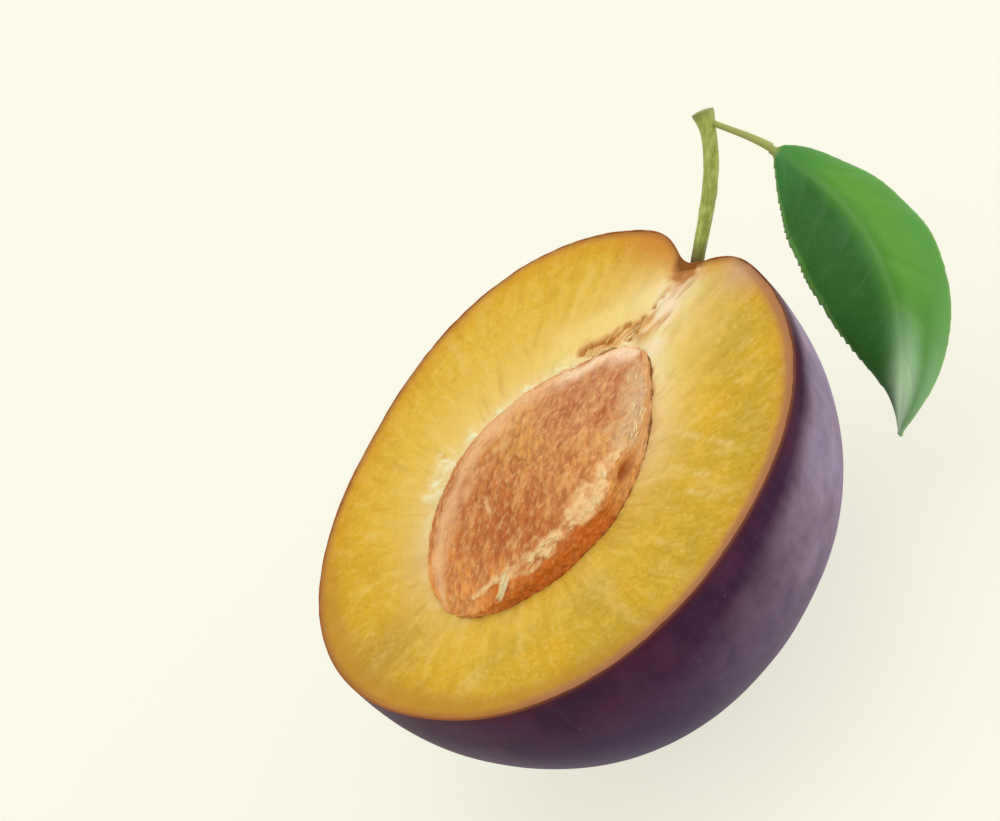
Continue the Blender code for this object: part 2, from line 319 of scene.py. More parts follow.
azimuth = np.linspace(0, 2 * np.pi, SKIN_AROUND, endpoint=False)
climb = np.sin(np.linspace(0, 1, SKIN_DOWN) * np.pi / 2) ** 0.9
polar = SKIN_POLE + (np.pi / 2 - SKIN_POLE) * climb
outside, outwards = body_layer(*np.meshgrid(azimuth, polar), 0.0)
dents = DENT_HEIGHT * cloud(outside, 9, 5, layers=3)
near_cut = bell(outside[..., 2], 1.2 * MM)
outside = outside + outwards * (dents * (1 - near_cut) - SKIN_INSET)[..., None]
ragged = EDGE_RAGGED * cloud(outside, 0.8, 8)
outside[..., 2] += ragged * bell(outside[..., 2], 0.4 * MM)
inside, _ = body_layer(*np.meshgrid(azimuth, polar), SKIN_EDGE)
inside[..., 2] += ragged * bell(inside[..., 2], 0.4 * MM)
lip, _ = body_layer(*np.meshgrid(azimuth, polar[-1:]), SKIN_EDGE * 0.4)
lip[..., 2] += EDGE_CURL + ragged[-1]
skin_rings = np.concatenate([outside, lip, inside[::-1]])
floor_depth = np.repeat([0, SKIN_EDGE], [SKIN_DOWN + 1, SKIN_DOWN])[:, None]
skin_rings[..., 2] = np.maximum(skin_rings[..., 2], floor_depth - CUT_HEIGHT)
print("skin height mm", round(float(np.ptp(skin_rings[..., 2])) / MM, 2))

# %% [markdown]
# Bloom and painted light on the skin
#
# Bloom is the pale wax on the peel. A smooth formula places it, thickest on the flank to the right of the
# stem and thin along the cut, so the peel there stays darker. The lighter flank is partly painted light.

# %% Skin marks
BLOOM_AND_LIGHT_CENTRE = unit(np.array([0.78, 0.60, -0.20]))
BLOOM_AND_LIGHT_SPREAD = 0.86
RUST_SPREAD = np.radians(12.0)

skin_way = unit(skin_rings)
from_cut = -skin_rings[..., 2] / MM
bare_mm = 5.4 - 3.8 * skin_way[..., 1]
rust = bell(angle_from(skin_way, CAVITY_WAY), RUST_SPREAD)
# Bloom placement, partly painted light: thickest on the lit right flank, thin along the cut.
bloom_and_light_place = bell(angle_from(skin_way, BLOOM_AND_LIGHT_CENTRE), BLOOM_AND_LIGHT_SPREAD) * rise(from_cut / bare_mm, 0.2, 1.1)
skin_marks = {"from_cut": from_cut, "rust": rust, "bloom_and_light_place": bloom_and_light_place * (1 - rust),
              "right_lip": bell(from_cut, 0.35) * rise(skin_rings[..., 0], 2 * MM, 13 * MM)}

# %% [markdown]
# Skin finish
#
# Plum skin: living waxed peel, dark red-purple under a pale blue-grey bloom. The bloom is a dry powdery wax
# that scatters light, so it greys the colour, raises the roughness and shows most at a grazing angle,
# which is what sheen does. Where it is thin the peel is darker and glossier. Next to the cut
# the peel is thin and lit through from the flesh, so it turns red-brown there, and round the stem it has
# dried to a rusty brown. Lower down the peel is painted darker, as painted shade.

# %% Skin material
plum_skin, tree, shader, where, mark = new_material(
    "waxed plum peel", skin_marks, IOR=1.44, Specular_IOR_Level=0.05, Sheen_Roughness=0.45,
    Sheen_Tint=linear("B9A4C6"), Subsurface_Weight=0.05, Subsurface_Scale=0.6 * MM)
smear = add(tree, "TexNoise", patches(where, 7, 4.0, 0.6))
powder = add(tree, "TexNoise", patches(where, 0.6, 3.0, 0.6))
brushed = add(tree, "Mapping", {"Vector": where, "Scale": (1.0, 1.0, 0.18)})
strokes = add(tree, "TexNoise", patches(brushed, 0.9, 4.0, 0.6))
uneven = add(tree, "MapRange", {"Value": smear, **limits(0.3, 0.7, 0.55, 1.25)})
patchy = add(tree, "Math", {0: uneven, 1: mark["bloom_and_light_place"]}, operation="MULTIPLY")
stroked = add(tree, "MapRange", {"Value": strokes, **limits(0.3, 0.7, 0.9, 1.08)})
bloom_and_light = add(tree, "Math", {0: stroked, 1: patchy}, operation="MULTIPLY")
drift = add(tree, "TexNoise", patches(where, 3.2, 2.0))
blue = add(tree, "Math", {0: drift, 1: bloom_and_light}, operation="MULTIPLY")
dots = add(tree, "TexVoronoi", {"Vector": where, "Scale": 1 / (1.7 * MM)}, feature="F1")
skin_colour = paint(tree, mark, "371B38", [
    ("4C2642", smear, 0.40, 0.62, 0.8),
    ("524168", "from_cut", 4.0, 15.0, 0.7),
    # Painted shade: the peel is darker towards the bottom, under the fruit.
    ("33263E", "from_cut", 12.0, 19.0, 0.6),
    ("523A58", strokes, 0.42, 0.8, 0.3),
    # Pale bloom: real wax, laid on partly as painted light where the light falls on the right flank.
    ("AA94A8", bloom_and_light, 0.05, 1.0, 0.9),
    ("7C7CAC", blue, 0.25, 0.6, 0.35),
    ("A08C90", dots.outputs["Distance"], 0.09, 0.05, 0.12),
    ("4E1A24", "from_cut", 1.4, 0.0, 0.75),
    ("B06A34", "from_cut", 0.22, 0.02, 0.85),
    ("5A3030", "right_lip", 0.1, 0.9, 0.75),
    ("965E2A", "rust", 0.2, 0.8, 0.9)])
feed(tree, shader, {
    "Base Color": skin_colour,
    "Roughness": add(tree, "MapRange", {"Value": bloom_and_light, **limits(0.0, 0.7, 0.45, 0.62)}),
    "Sheen Weight": add(tree, "MapRange", {"Value": bloom_and_light, **limits(0.05, 0.8, 0.0, 0.32)}),
    "Normal": add(tree, "Bump", {"Height": powder, "Distance": 0.02 * MM, "Strength": 0.4})})

skin = knit("plum_skin", skin_rings, plum_skin, skin_marks)
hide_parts("skin")

# %% [markdown]
# The stone's form
#
# A plum stone is a flattened, pointed lens that lies in the plane of the cut. It needs a second
# superellipsoid with two powers: a low one along its length, which draws the outline to a point, and a
# higher one across, which makes the sides steep. A keel runs along its right side.

# %% Stone reach
STONE_CENTRE = np.array([-0.5, -3.45, 0.0]) * MM
STONE_LEAN = np.radians(10.0)
STONE_POINT_REACH = 13.0 * MM
STONE_BLUNT_REACH = 13.2 * MM
STONE_HALF_WIDTH = 9.4 * MM
STONE_HALF_THICKNESS = 3.5 * MM
STONE_LENGTH_POWER = 1.8
STONE_SECTION_POWER = 2.5
STONE_TAPER = 0.027
STONE_BEAK = 0.13
STONE_BEAK_SPREAD = 0.25
KEEL_RISE = 0.09
KEEL_ANGLE = 0.6
KEEL_SPREAD = 0.2
ALONG_AXIS = np.array([np.sin(STONE_LEAN), np.cos(STONE_LEAN), 0.0])
ACROSS_AXIS = np.array([np.cos(STONE_LEAN), -np.sin(STONE_LEAN), 0.0])


def stone_heading(tilt, turn):
    """Unit vectors from the stone's centre. Tilt opens from its point, and turn goes round its section."""
    section = np.arctan2(STONE_HALF_THICKNESS * np.sin(turn), STONE_HALF_WIDTH * np.cos(turn))[..., None]
    tilt = tilt[..., None]
    return np.cos(tilt) * ALONG_AXIS + np.sin(tilt) * (np.cos(section) * ACROSS_AXIS + np.sin(section) * UP)


def stone_reach(direction):
    """How far the stone's surface lies from its centre in each direction."""
    across, along, z = direction @ ACROSS_AXIS, direction @ ALONG_AXIS, direction[..., 2]
    length = np.where(along > 0, STONE_POINT_REACH, STONE_BLUNT_REACH)
    width = STONE_HALF_WIDTH * (1 - STONE_TAPER * along)
    section = np.abs(across / width) ** STONE_SECTION_POWER
    section = section + np.abs(z / STONE_HALF_THICKNESS) ** STONE_SECTION_POWER
    total = section ** (STONE_LENGTH_POWER / STONE_SECTION_POWER)
    total = total + np.abs(along / length) ** STONE_LENGTH_POWER
    tilt = angle_from(direction, ALONG_AXIS)
    turn = np.arctan2(z / STONE_HALF_THICKNESS, across / STONE_HALF_WIDTH)
    reach = total ** (-1 / STONE_LENGTH_POWER) * (1 + STONE_BEAK * bell(tilt, STONE_BEAK_SPREAD))
    return reach * (1 + KEEL_RISE * bell(np.abs(turn) - KEEL_ANGLE, KEEL_SPREAD) * np.sin(tilt))


# %% [markdown]
# Flesh
#
# The cut face is not flat. Fibres run from the stone out towards the skin, the knife leaves them as low
# ridges, and next to the stone they stand up torn. The mesh is one closed form: the underside of the
# flesh, the rim just inside the skin, the cut face in rings from rim to stone, and the hollow that the
# stone sits in, drawn out into a torn shallow pocket towards the stem.

# %% Flesh mesh
FLESH_DEPTH = 0.14 * MM
FLESH_AROUND = 720
FACE_ROWS = 96
STONE_FIT = 0.03 * MM
CLING_FIT = -0.25 * MM
FRAY = 0.05 * MM
POCKET_REACH = 0.8 * MM
POCKET_TURN = np.radians(-9.0)
POCKET_SPREAD = np.radians(13.0)
POCKET_HEIGHT = np.radians(7.0)
POCKET_RAGGED = 0.5 * MM
MOUTH_POLAR = np.radians(88.0)


def hollow_points(azimuth, polar):
    """Points on the wall of the stone's hollow, as seen from the stone's centre."""
    direction = heading(azimuth, polar)
    turned = (azimuth - POCKET_TURN + np.pi) % (2 * np.pi) - np.pi
    pocket = POCKET_REACH * bell(turned, POCKET_SPREAD) * bell(np.pi / 2 - polar, POCKET_HEIGHT)
    wall = STONE_CENTRE + direction * stone_reach(direction)[..., None]
    torn = POCKET_RAGGED * np.clip(pocket / MM, 0, 1) * cloud(wall, 0.8, 21, layers=3)
    fit = CLING_FIT + (STONE_FIT - CLING_FIT) * rise(np.sin(azimuth), -0.45, 0.35)
    fit = fit + FRAY * cloud(wall, 0.8, 22)
    return wall + direction * (fit + pocket + np.maximum(torn, -pocket))[..., None]


azimuth = np.linspace(0, 2 * np.pi, FLESH_AROUND, endpoint=False)
rim, _ = body_layer(azimuth, np.full(FLESH_AROUND, np.pi / 2), FLESH_DEPTH)
mouth = hollow_points(azimuth, np.full(FLESH_AROUND, MOUTH_POLAR))
mouth[:, 2] = 0.0
even = np.linspace(1, 0, FACE_ROWS)
share = (0.55 * even + 0.45 * (0.5 - 0.5 * np.cos(np.pi * even)))[:, None]
face = mouth + (rim - mouth) * share[..., None]
length = np.linalg.norm(rim - mouth, axis=-1)[None, :] / MM
mouth_mm, rim_mm = share * length, (1 - share) * length
print("flesh round the stone mm", round(float(length.min()), 1), "to", round(float(length.max()), 1))

# %% [markdown]
# Where things are on the cut face
#
# The pale bundle of veins runs from the stem to the point of the stone, a brown scar marks where the stem
# joins, and beside the point of the stone the flesh is torn into grooves that run towards the stem. All are
# kept as numbers at each point, from the distance to a spot or to a short line.

# %% Marks on the flesh
VEIN = (2.9, 18.0, 2.3, 14.4)
CREAM = (-6.0, 10.4, 0.3, 16.2)
TEAR = (-3.2, 10.2, 1.8, 13.4)
SCAR = (2.1, 19.5, 0.9, 0.7)
# Each spot has its place, its stretch both ways, its spread in mm and how ragged its edge is.
SPOTS = {
    "bruise": (-7.6, -21.0, 1.0, 1.0, 3.9, 0), "shoulder": (-1.9, 21.2, 0.6, 1.1, 2.6, 0),
    "pink": (8.6, 20.0, 1.0, 1.0, 2.7, 0), "vein_glow": (2.3, 15.8, 1.0, 1.0, 4.2, 0),
    "torn_spot": (1.5, 12.3, 1.0, 1.0, 1.1, 1), "scar_pit": (1.5, 19.8, 1.0, 0.6, 0.6, 1)}
# Each line has its two ends and its width in mm.
# The slits are shallow and painted brown, partly as painted shade of deep gaps.
SLITS = [(-3.9, 9.8, -2.0, 11.3, 0.42), (-1.6, 11.2, -0.7, 13.0, 0.32), (0.3, 11.8, 0.6, 13.9, 0.36),
         (1.1, 14.9, 1.6, 16.2, 0.14), (4.2, 8.9, 4.5, 8.3, 0.4), (5.3, 7.4, 5.7, 6.7, 0.36)]
STRANDS = [(9.4, 3.6, 17.0, 3.3, 0.3), (9.4, 0.3, 16.3, 0.1, 0.35), (14.9, -1.6, 19.4, -1.8, 0.3),
           (6.8, 9.0, 6.6, 12.5, 0.3), (4.6, 16.5, 5.6, 12.6, 0.6), (7.3, 5.6, 7.2, 8.2, 0.45),
           (9.6, -1.4, 11.4, -0.3, 0.4)]
CLINGING = [(-11.8, -5.3, 1.1), (-11.9, -2.1, 1.2), (-10.7, 0.6, 0.8), (-9.0, 2.8, 0.7), (-7.2, 5.3, 0.6),
            (-5.4, 7.6, 0.6)]
TEAR_WAY = np.array([0.347, 0.938, 0.0])
PALE_WAY = unit(np.array([-0.6, 0.8, 0.0]))
face_x, face_y = face[..., 0] / MM, face[..., 1] / MM


def drawn_out(points, way, share):
    """Points pressed together along a direction, so that a pattern looked up there is drawn out along it."""
    return points - share * (points @ way)[..., None] * way


def off_spot(x, y, stretch_x=1.0, stretch_y=1.0):
    """Distance in mm over the cut face from a spot, more or less than true where it is stretched."""
    return np.hypot((face_x - x) * stretch_x, (face_y - y) * stretch_y)


def off_line(start_x, start_y, end_x, end_y):
    """Distance in mm over the cut face from the straight line between two places."""
    run_x, run_y = end_x - start_x, end_y - start_y
    share = ((face_x - start_x) * run_x + (face_y - start_y) * run_y) / (run_x ** 2 + run_y ** 2)
    share = np.clip(share, 0, 1)
    return off_spot(start_x + share * run_x, start_y + share * run_y)


def lines(places, blur):
    """One along each line and nought away from them all."""
    return np.clip(sum(bell(off_line(*ends) + blur, width) for *ends, width in places), 0, 1)


pulled = drawn_out(face, TEAR_WAY, 0.8)
wobble = 0.18 * cloud(face, 0.5, 24)
uphill = unit(face - STONE_CENTRE) @ PALE_WAY
vein = bell(off_line(*VEIN) + 0.5 * cloud(face, 0.9, 6, layers=3), 1.5)
# The pale zone and the halo are stronger towards the stem side, partly as painted light.
halo_place = 0.75 * rise(uphill, -0.8, 0.1) + 0.25 * rise(uphill, 0.1, 0.7)
face_marks = {
    name: bell(off_spot(x, y, stretch_x, stretch_y) + ragged * wobble, spread)
    for name, (x, y, stretch_x, stretch_y, spread, ragged) in SPOTS.items()}
face_marks |= {
    "rim_mm": rim_mm, "tear_groove": cloud(pulled, 0.42, 10),
    "vein": np.maximum(vein, 0.75 * bell(off_spot(3.5, 11.3) + 2 * wobble, 1.1)),
    "cream": bell(off_line(*CREAM) + 0.5 * cloud(face, 1.2, 7), 1.9),
    "scar": 1 - rise(off_spot(*SCAR) + 0.35 * cloud(face, 0.6, 4), 0.6, 1.8),
    "tear": 1 - rise(off_line(*TEAR) + 0.45 * cloud(face, 1.0, 9), 0.2, 1.5),
    "slit": lines(SLITS, wobble),
    "strand": lines(STRANDS, 0.5 * wobble) * rise(cloud(pulled, 0.5, 11), -0.8, 0.8),
    "pale": bell(mouth_mm, 4.8 + 4.0 * np.clip(uphill, 0, 1)) * (0.35 + 0.65 * rise(uphill, -0.4, 0.6)),
    "halo": bell(mouth_mm, 2.4) * halo_place,
    # Painted shade: a darker band just inside the lower rim.
    "low_rim": bell(rim_mm - 1.2, 1.4) * rise(-face_y, 9, 19),
    "right_rim": bell(rim_mm - 0.4, 0.6) * rise(face_x, 4, 13)}

# %% [markdown]
# Fibres in the cut
#
# A fibre pattern is a cloud looked up in bent coordinates: the turn round the stone, wound onto a circle
# so that it has no seam, and the distance outwards squeezed to a fifth. Its ridges then run outwards.
# The torn lip at the stone is patchy: it stands up in places, and elsewhere the flesh ends smoothly.

# %% Cut face relief
WINDING = 12 * MM
SQUEEZE = 0.19
LIP_REACH = 1.1
LIP_SPREAD = 0.55
turns = np.broadcast_to(azimuth, (FACE_ROWS, FLESH_AROUND))
wound = [WINDING * np.cos(turns), WINDING * np.sin(turns), SQUEEZE * mouth_mm * MM]
bent = np.stack(wound, -1) + 0.35 * MM * cloud(face, 2.5, 3, layers=1)[..., None]
streak = cloud(bent, 0.6, 12, layers=3)
hair = 1 - np.abs(cloud(bent, 0.34, 13))
grain = cloud(face, 0.5, 16)
left_side = rise(-face_x, -5, 5)
torn_lip = np.exp(-np.maximum(mouth_mm - LIP_REACH * left_side, 0) / LIP_SPREAD)
for patch in (rise(cloud(face, 1.3, 17), -0.6, 0.6), left_side, rise(uphill, -0.1, 0.45)):
    torn_lip = torn_lip * (0.2 + 0.8 * patch)
clinging = sum(bell(off_spot(x, y), width) for x, y, width in CLINGING)
lump = rise(cloud(face, 0.9, 18, layers=3), -1.0, 0.9) * np.clip(clinging, 0, 1)
face_marks |= {"streak": streak, "hair": hair, "torn_lip": torn_lip, "lump": lump}
height = sum([
    0.11 * cloud(face, 5, 14), 0.04 * cloud(face, 1.1, 15), 0.03 * streak, 0.02 * (hair - 0.6), 0.018 * grain,
    torn_lip * (0.12 + 0.2 * grain + 0.2 * (hair - 0.5)), lump * (0.22 + 0.15 * grain),
    face_marks["vein"] * (0.04 + 0.05 * face_marks["tear_groove"]),
    face_marks["tear"] * (0.12 * face_marks["tear_groove"] - 0.05),
    -0.25 * face_marks["scar"], -0.2 * face_marks["scar_pit"], -0.2 * face_marks["slit"],
    0.02 * face_marks["strand"], -0.14 * (1 - rise(rim_mm, 0.0, 0.5)) ** 2])
height = height * np.clip(rim_mm / 0.3, 0.3, 1) + 0.05
face[..., 2] += height * MM
print("cut face relief mm", round(float(height.min()), 2), "to", round(float(height.max()), 2))

# %% [markdown]
# Closing the flesh
#
# The rings of the hidden side under the skin come before those of the cut face, and the wall of the hollow
# comes after them. Marks are known on the cut face only, so each has one even value on each other part.

# %% Flesh rings
HOLLOW_ROWS = 14
SIDE_ROWS = 18
# What a mark is in the hollow, where it isn't nought there. On the hidden side every mark is nought.
IN_HOLLOW = {"rim_mm": 9, "torn_lip": 0.3, "tear": 0.5, "tear_groove": -0.2, "hollow": 1}
lip_turn = np.radians(np.linspace(86, 4, HOLLOW_ROWS))
lip_polar = np.arctan2(STONE_HALF_WIDTH * np.sin(lip_turn), STONE_HALF_THICKNESS * np.cos(lip_turn))
hollow = hollow_points(*np.meshgrid(azimuth, lip_polar))
side_polar = 0.05 + (np.pi / 2 - 0.08) * np.sin(np.linspace(0, 1, SIDE_ROWS) * np.pi / 2) ** 0.9
side, _ = body_layer(*np.meshgrid(azimuth, side_polar), FLESH_DEPTH)
side[..., 2] = np.maximum(side[..., 2], FLESH_DEPTH - CUT_HEIGHT)
flesh_rings = np.concatenate([side, face, hollow])
face_marks |= {"right_side": face[..., 0] / HALF_WIDTH, "hollow": np.zeros(face.shape[:2])}
flesh_marks = {}
for key, value in face_marks.items():
    ends = ((0, IN_HOLLOW.get(key, 0)), (0, 0))
    flesh_marks[key] = np.pad(value, ((SIDE_ROWS, HOLLOW_ROWS), (0, 0)), constant_values=ends)

# %% [markdown]
# Flesh finish
#
# Plum flesh: living tissue, cut with a knife and wet with juice. It is full of water, with an IOR near 1.36,
# and light goes some millimetres into it, red furthest, which gives the warm glow near the rim. The colour
# runs from cream at the stone through golden yellow to orange under the skin, more olive on the right. The
# duller right side and the paler zone towards the stem are partly painted shade and painted light.
# Fibres show as paler streaks, and a thin film of juice gives soft small highlights.

# %% Flesh material
plum_flesh, tree, shader, where, mark = new_material(
    "wet plum flesh", flesh_marks, IOR=1.36, Specular_IOR_Level=0.2, Coat_Weight=0.06, Coat_Roughness=0.25,
    Subsurface_Weight=0.3, Subsurface_Scale=1.2 * MM, Subsurface_Radius=(1.0, 0.55, 0.18))
patch = add(tree, "TexNoise", patches(where, 5, 3.0, 0.55))
mottle = add(tree, "TexNoise", patches(where, 1.6, 4.0, 0.6))
speck = add(tree, "TexNoise", patches(where, 0.45, 4.0, 0.7))
olive = add(tree, "Math", {0: mark["right_side"], 1: 0.35, 2: patch}, operation="MULTIPLY_ADD")
torn = add(tree, "Math", {0: mark["tear"], 1: mark["vein"]}, operation="MAXIMUM")
inner_tear = add(tree, "Math", {0: torn, 1: mark["tear_groove"]}, operation="MULTIPLY")
flesh_colour = paint(tree, mark, "DFB01A", [
    # Partly painted shade: the right side of the cut face is duller olive.
    ("C8A828", olive, 0.46, 0.80, 0.95),
    ("B08C28", "bruise", 0.05, 1.0, 0.7),
    ("F0CA48", mottle, 0.5, 0.72, 0.45),
    ("B58A18", speck, 0.54, 0.72, 0.5),
    ("F4DA7E", speck, 0.46, 0.30, 0.35),
    # Partly painted light: the pale zone and the halo are stronger towards the stem side.
    ("F7DA6E", "pale", 0.0, 1.0, 0.85),
    ("FCEABE", "halo", 0.0, 1.0, 0.75),
    ("F5DC86", "streak", 0.2, 1.3, 0.3),
    ("B98818", "streak", -0.2, -1.3, 0.35),
    ("F4DA80", "hair", 0.8, 1.0, 0.2),
    ("F2DC8C", "strand", 0.0, 1.0, 0.5),
    ("FCE088", "cream", 0.0, 1.0, 0.75),
    ("FDEBB8", "vein_glow", 0.0, 1.0, 0.5),
    ("FDE9A8", "torn_lip", 0.05, 0.5, 0.8),
    ("FAE4C2", "vein", 0.1, 1.0, 0.85),
    ("C8903C", "torn_spot", 0.1, 0.9, 0.75),
    ("D68C14", "rim_mm", 2.4, 0.2, 0.55),
    # Painted shade: darker golden-brown just inside the lower rim.
    ("B4861E", "low_rim", 0.0, 1.0, 0.6),
    ("D8842A", "shoulder", 0.0, 1.0, 0.7),
    ("D4B294", "pink", 0.1, 1.0, 0.7),
    ("EDB468", "tear", 0.1, 0.9, 0.7),
    ("C88C4C", inner_tear, 0.05, -0.6, 0.6),
    ("FDEAC4", inner_tear, 0.15, 0.6, 0.6),
    # Partly painted shade: the shallow slits are painted brown.
    ("B87416", "slit", 0.1, 0.9, 0.85),
    ("FFF3C8", "lump", 0.05, 0.6, 0.95),
    ("A86A3C", "rim_mm", 0.8, 0.05, 0.7),
    ("A46E5A", "right_rim", 0.1, 1.0, 0.6),
    # Partly painted shade: the hollow wall is reddish-brown and shows as a dark line round the stone.
    ("B06A1C", "hollow", 0.0, 1.0, 0.8),
    ("BE7C3C", "scar", 0.0, 0.8, 0.95),
    ("74400F", "scar_pit", 0.1, 0.9, 0.85)])
feed(tree, shader, {
    "Base Color": flesh_colour,
    "Roughness": add(tree, "MapRange", {"Value": speck, **limits(0.3, 0.7, 0.34, 0.5)}),
    "Normal": add(tree, "Bump", {"Height": speck, "Distance": 0.05 * MM, "Strength": 0.5})})

flesh = knit("plum_flesh", flesh_rings, plum_flesh, flesh_marks)
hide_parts("flesh")

# %% [markdown]
# Stone
#
# The shell of the stone is wood. Its faces are covered with fine wrinkles and pits, drawn out along its
# length, that the flesh grew into. Along the right shoulder runs a ragged crest where flesh tore away,
# with a small crevice beside it, and below the crest the side falls steeply into the gap. The left margin
# and the point are smoother and paler, the paler colour partly painted light. The mesh is the plain form
# with all that added.

# %% Stone surface
# Lines along the stone: their tilts from its point and, below them, their turns round it, in degrees.
CREST_LINE = np.radians([[0, 6, 18, 34, 48, 61, 70, 82, 91, 102, 115, 128, 141, 151, 162, 180],
                         [68, 64, 47, 37, 34, 39, 43, 40, 38, 39, 41, 43, 47, 52, 56, 70]])
MARGIN_LINE = np.radians([[0, 11, 30, 49, 107, 150, 180], [105, 111, 128, 138, 128, 124, 120]])
SEAM_LINE = np.radians([[128, 142, 156], [105, 98, 82]])
CREST_WIDTH = np.radians(4.8)
CREST_WANDER = np.radians(4.5)
GRAIN_TURN = np.radians(25.0)
GRAIN_WAY = np.array([-np.sin(GRAIN_TURN), np.cos(GRAIN_TURN), 0.0])
PLATE_TILT = np.radians(93.0)
CREVICE_TILT, CREVICE_TURN = np.radians([66.0, 23.0])
OCHRE_TILT, OCHRE_TURN = np.radians([75.0, 105.0])
UNDERSIDE_TURN = -0.6
CREST_HEIGHT = 0.3 * MM
TORN_HEIGHT = 0.12 * MM
SWELL_HEIGHT = 0.05 * MM
GRAIN_HEIGHT = 0.06 * MM
PIT_DEPTH = 0.14 * MM
WRINKLE_DEPTH = 0.13 * MM
CREVICE_DEPTH = 0.6 * MM


def stone_surface(tilt, turn):
    """Points of the rough stone in given directions, and numbers for its colours."""
    direction = stone_heading(tilt, turn)
    smooth = STONE_CENTRE + direction * stone_reach(direction)[..., None]
    drawn = drawn_out(smooth, GRAIN_WAY, 0.6)
    pit = np.clip(1.2 - 1.7 * cells(drawn, 0.65, 41), 0, 1)
    wrinkle = 1 - np.clip(2.2 * np.abs(cloud(drawn, 0.7, 44)), 0, 1)
    grain = cloud(drawn, 0.24, 47)
    swell = cloud(smooth, 3.0, 45)
    wander = CREST_WANDER * cloud(smooth, 1.6, 46)
    folded = (turn + np.pi / 2) % (2 * np.pi) - np.pi / 2
    on_top = folded > UNDERSIDE_TURN
    off_crest = folded - np.interp(tilt, *CREST_LINE) + wander
    near_point = 1 - rise(tilt, *np.radians([48, 66]))
    plate = bell(tilt - PLATE_TILT, 0.2)
    broken = rise(cloud(smooth, 0.55, 48), -0.8, 0.7)
    shown = broken + (1 - broken) * np.maximum(0.55 * near_point, 0.2 + 0.25 * plate)
    crest_width = CREST_WIDTH * (1 + 1.9 * near_point + 1.1 * plate)
    crest = bell(off_crest, crest_width) * shown * rise(np.sin(tilt), 0.05, 0.3)
    torn_top = crest * near_point * rise(cloud(drawn_out(smooth, GRAIN_WAY, 0.88), 0.3, 49), -0.7, 0.6)
    # The band is the steep side below the crest, painted darker orange partly as painted shade.
    band = rise(-off_crest / crest_width, 0.6, 1.4) * on_top * (1 - near_point)
    band = band * (1 - rise(tilt, *np.radians([150, 172])))
    # The margin is smoother and painted paler, partly as painted light.
    margin_width = 0.16 + 0.1 * bell(tilt - 0.95, 0.45)
    margin = bell(folded - np.interp(tilt, *MARGIN_LINE) + wander, margin_width)
    seam = bell(folded - np.interp(tilt, *SEAM_LINE) + 0.6 * wander, 0.035)
    seam = seam * rise(tilt, *SEAM_LINE[0, :2]) * (1 - rise(tilt, *SEAM_LINE[0, 1:]))
    crevice = bell(tilt - CREVICE_TILT + wander, 0.15) * bell(folded - CREVICE_TURN, 0.2)
    tip = np.maximum(margin, bell(tilt - 0.09, 0.065) * rise(folded, 0.9, 1.3))
    ochre = bell(tilt - OCHRE_TILT, 0.5) * bell(folded - OCHRE_TURN, 0.6)
    along_mm = (smooth - STONE_CENTRE) @ ALONG_AXIS / MM
    calm = (1 - 0.2 * margin) * (1 - 0.5 * band)
    relief = CREST_HEIGHT * crest + SWELL_HEIGHT * swell + TORN_HEIGHT * torn_top
    relief = relief + GRAIN_HEIGHT * grain * (1 + crest) - CREVICE_DEPTH * crevice
    relief = relief - (PIT_DEPTH * pit + WRINKLE_DEPTH * wrinkle) * calm
    marks = {"pit": np.maximum(pit, wrinkle) * calm, "grain": grain, "crest": crest, "band": band,
             "margin": margin, "crevice": crevice, "length": np.cos(tilt) + 0.08 * swell, "seam": seam,
             "crest_top": crest * near_point, "torn_top": torn_top,
             "dry_band": band * rise(np.cos(tilt), -0.1, 0.25),
             "ochre": ochre * rise(cloud(smooth, 2.5, 50), -0.9, 0.6),
             "tip_pale": tip * (1 - rise(tilt, 0.3, 0.6)),
             "tip_side": rise(-off_crest / crest_width, 0.4, 0.9) * near_point * on_top,
             "blunt_end": rise(0.8 * swell - along_mm, 6.0, 11.0)}
    return smooth + direction * relief[..., None], marks


# %% [markdown]
# The rings of the stone are spaced evenly along its length, and most of the points of each ring lie on the
# side that shows.

# %% Stone mesh
STONE_ROWS = 262
STONE_TOP_COLUMNS = 280
STONE_UNDER_COLUMNS = 80
station = np.linspace(-0.995, 0.995, STONE_ROWS)
bulge = (1 - np.abs(station) ** STONE_LENGTH_POWER) ** (1 / STONE_LENGTH_POWER)
over = np.linspace(-0.1 * np.pi, np.pi, STONE_TOP_COLUMNS, endpoint=False)
under = np.linspace(np.pi, 1.9 * np.pi, STONE_UNDER_COLUMNS, endpoint=False)
turn, tilt = np.meshgrid(np.concatenate([over, under]), np.arctan2(0.46 * bulge, station))
stone_rings, stone_marks = stone_surface(tilt, turn)
print("stone mm", np.round(np.ptp(stone_rings.reshape(-1, 3), axis=0) / MM, 1))
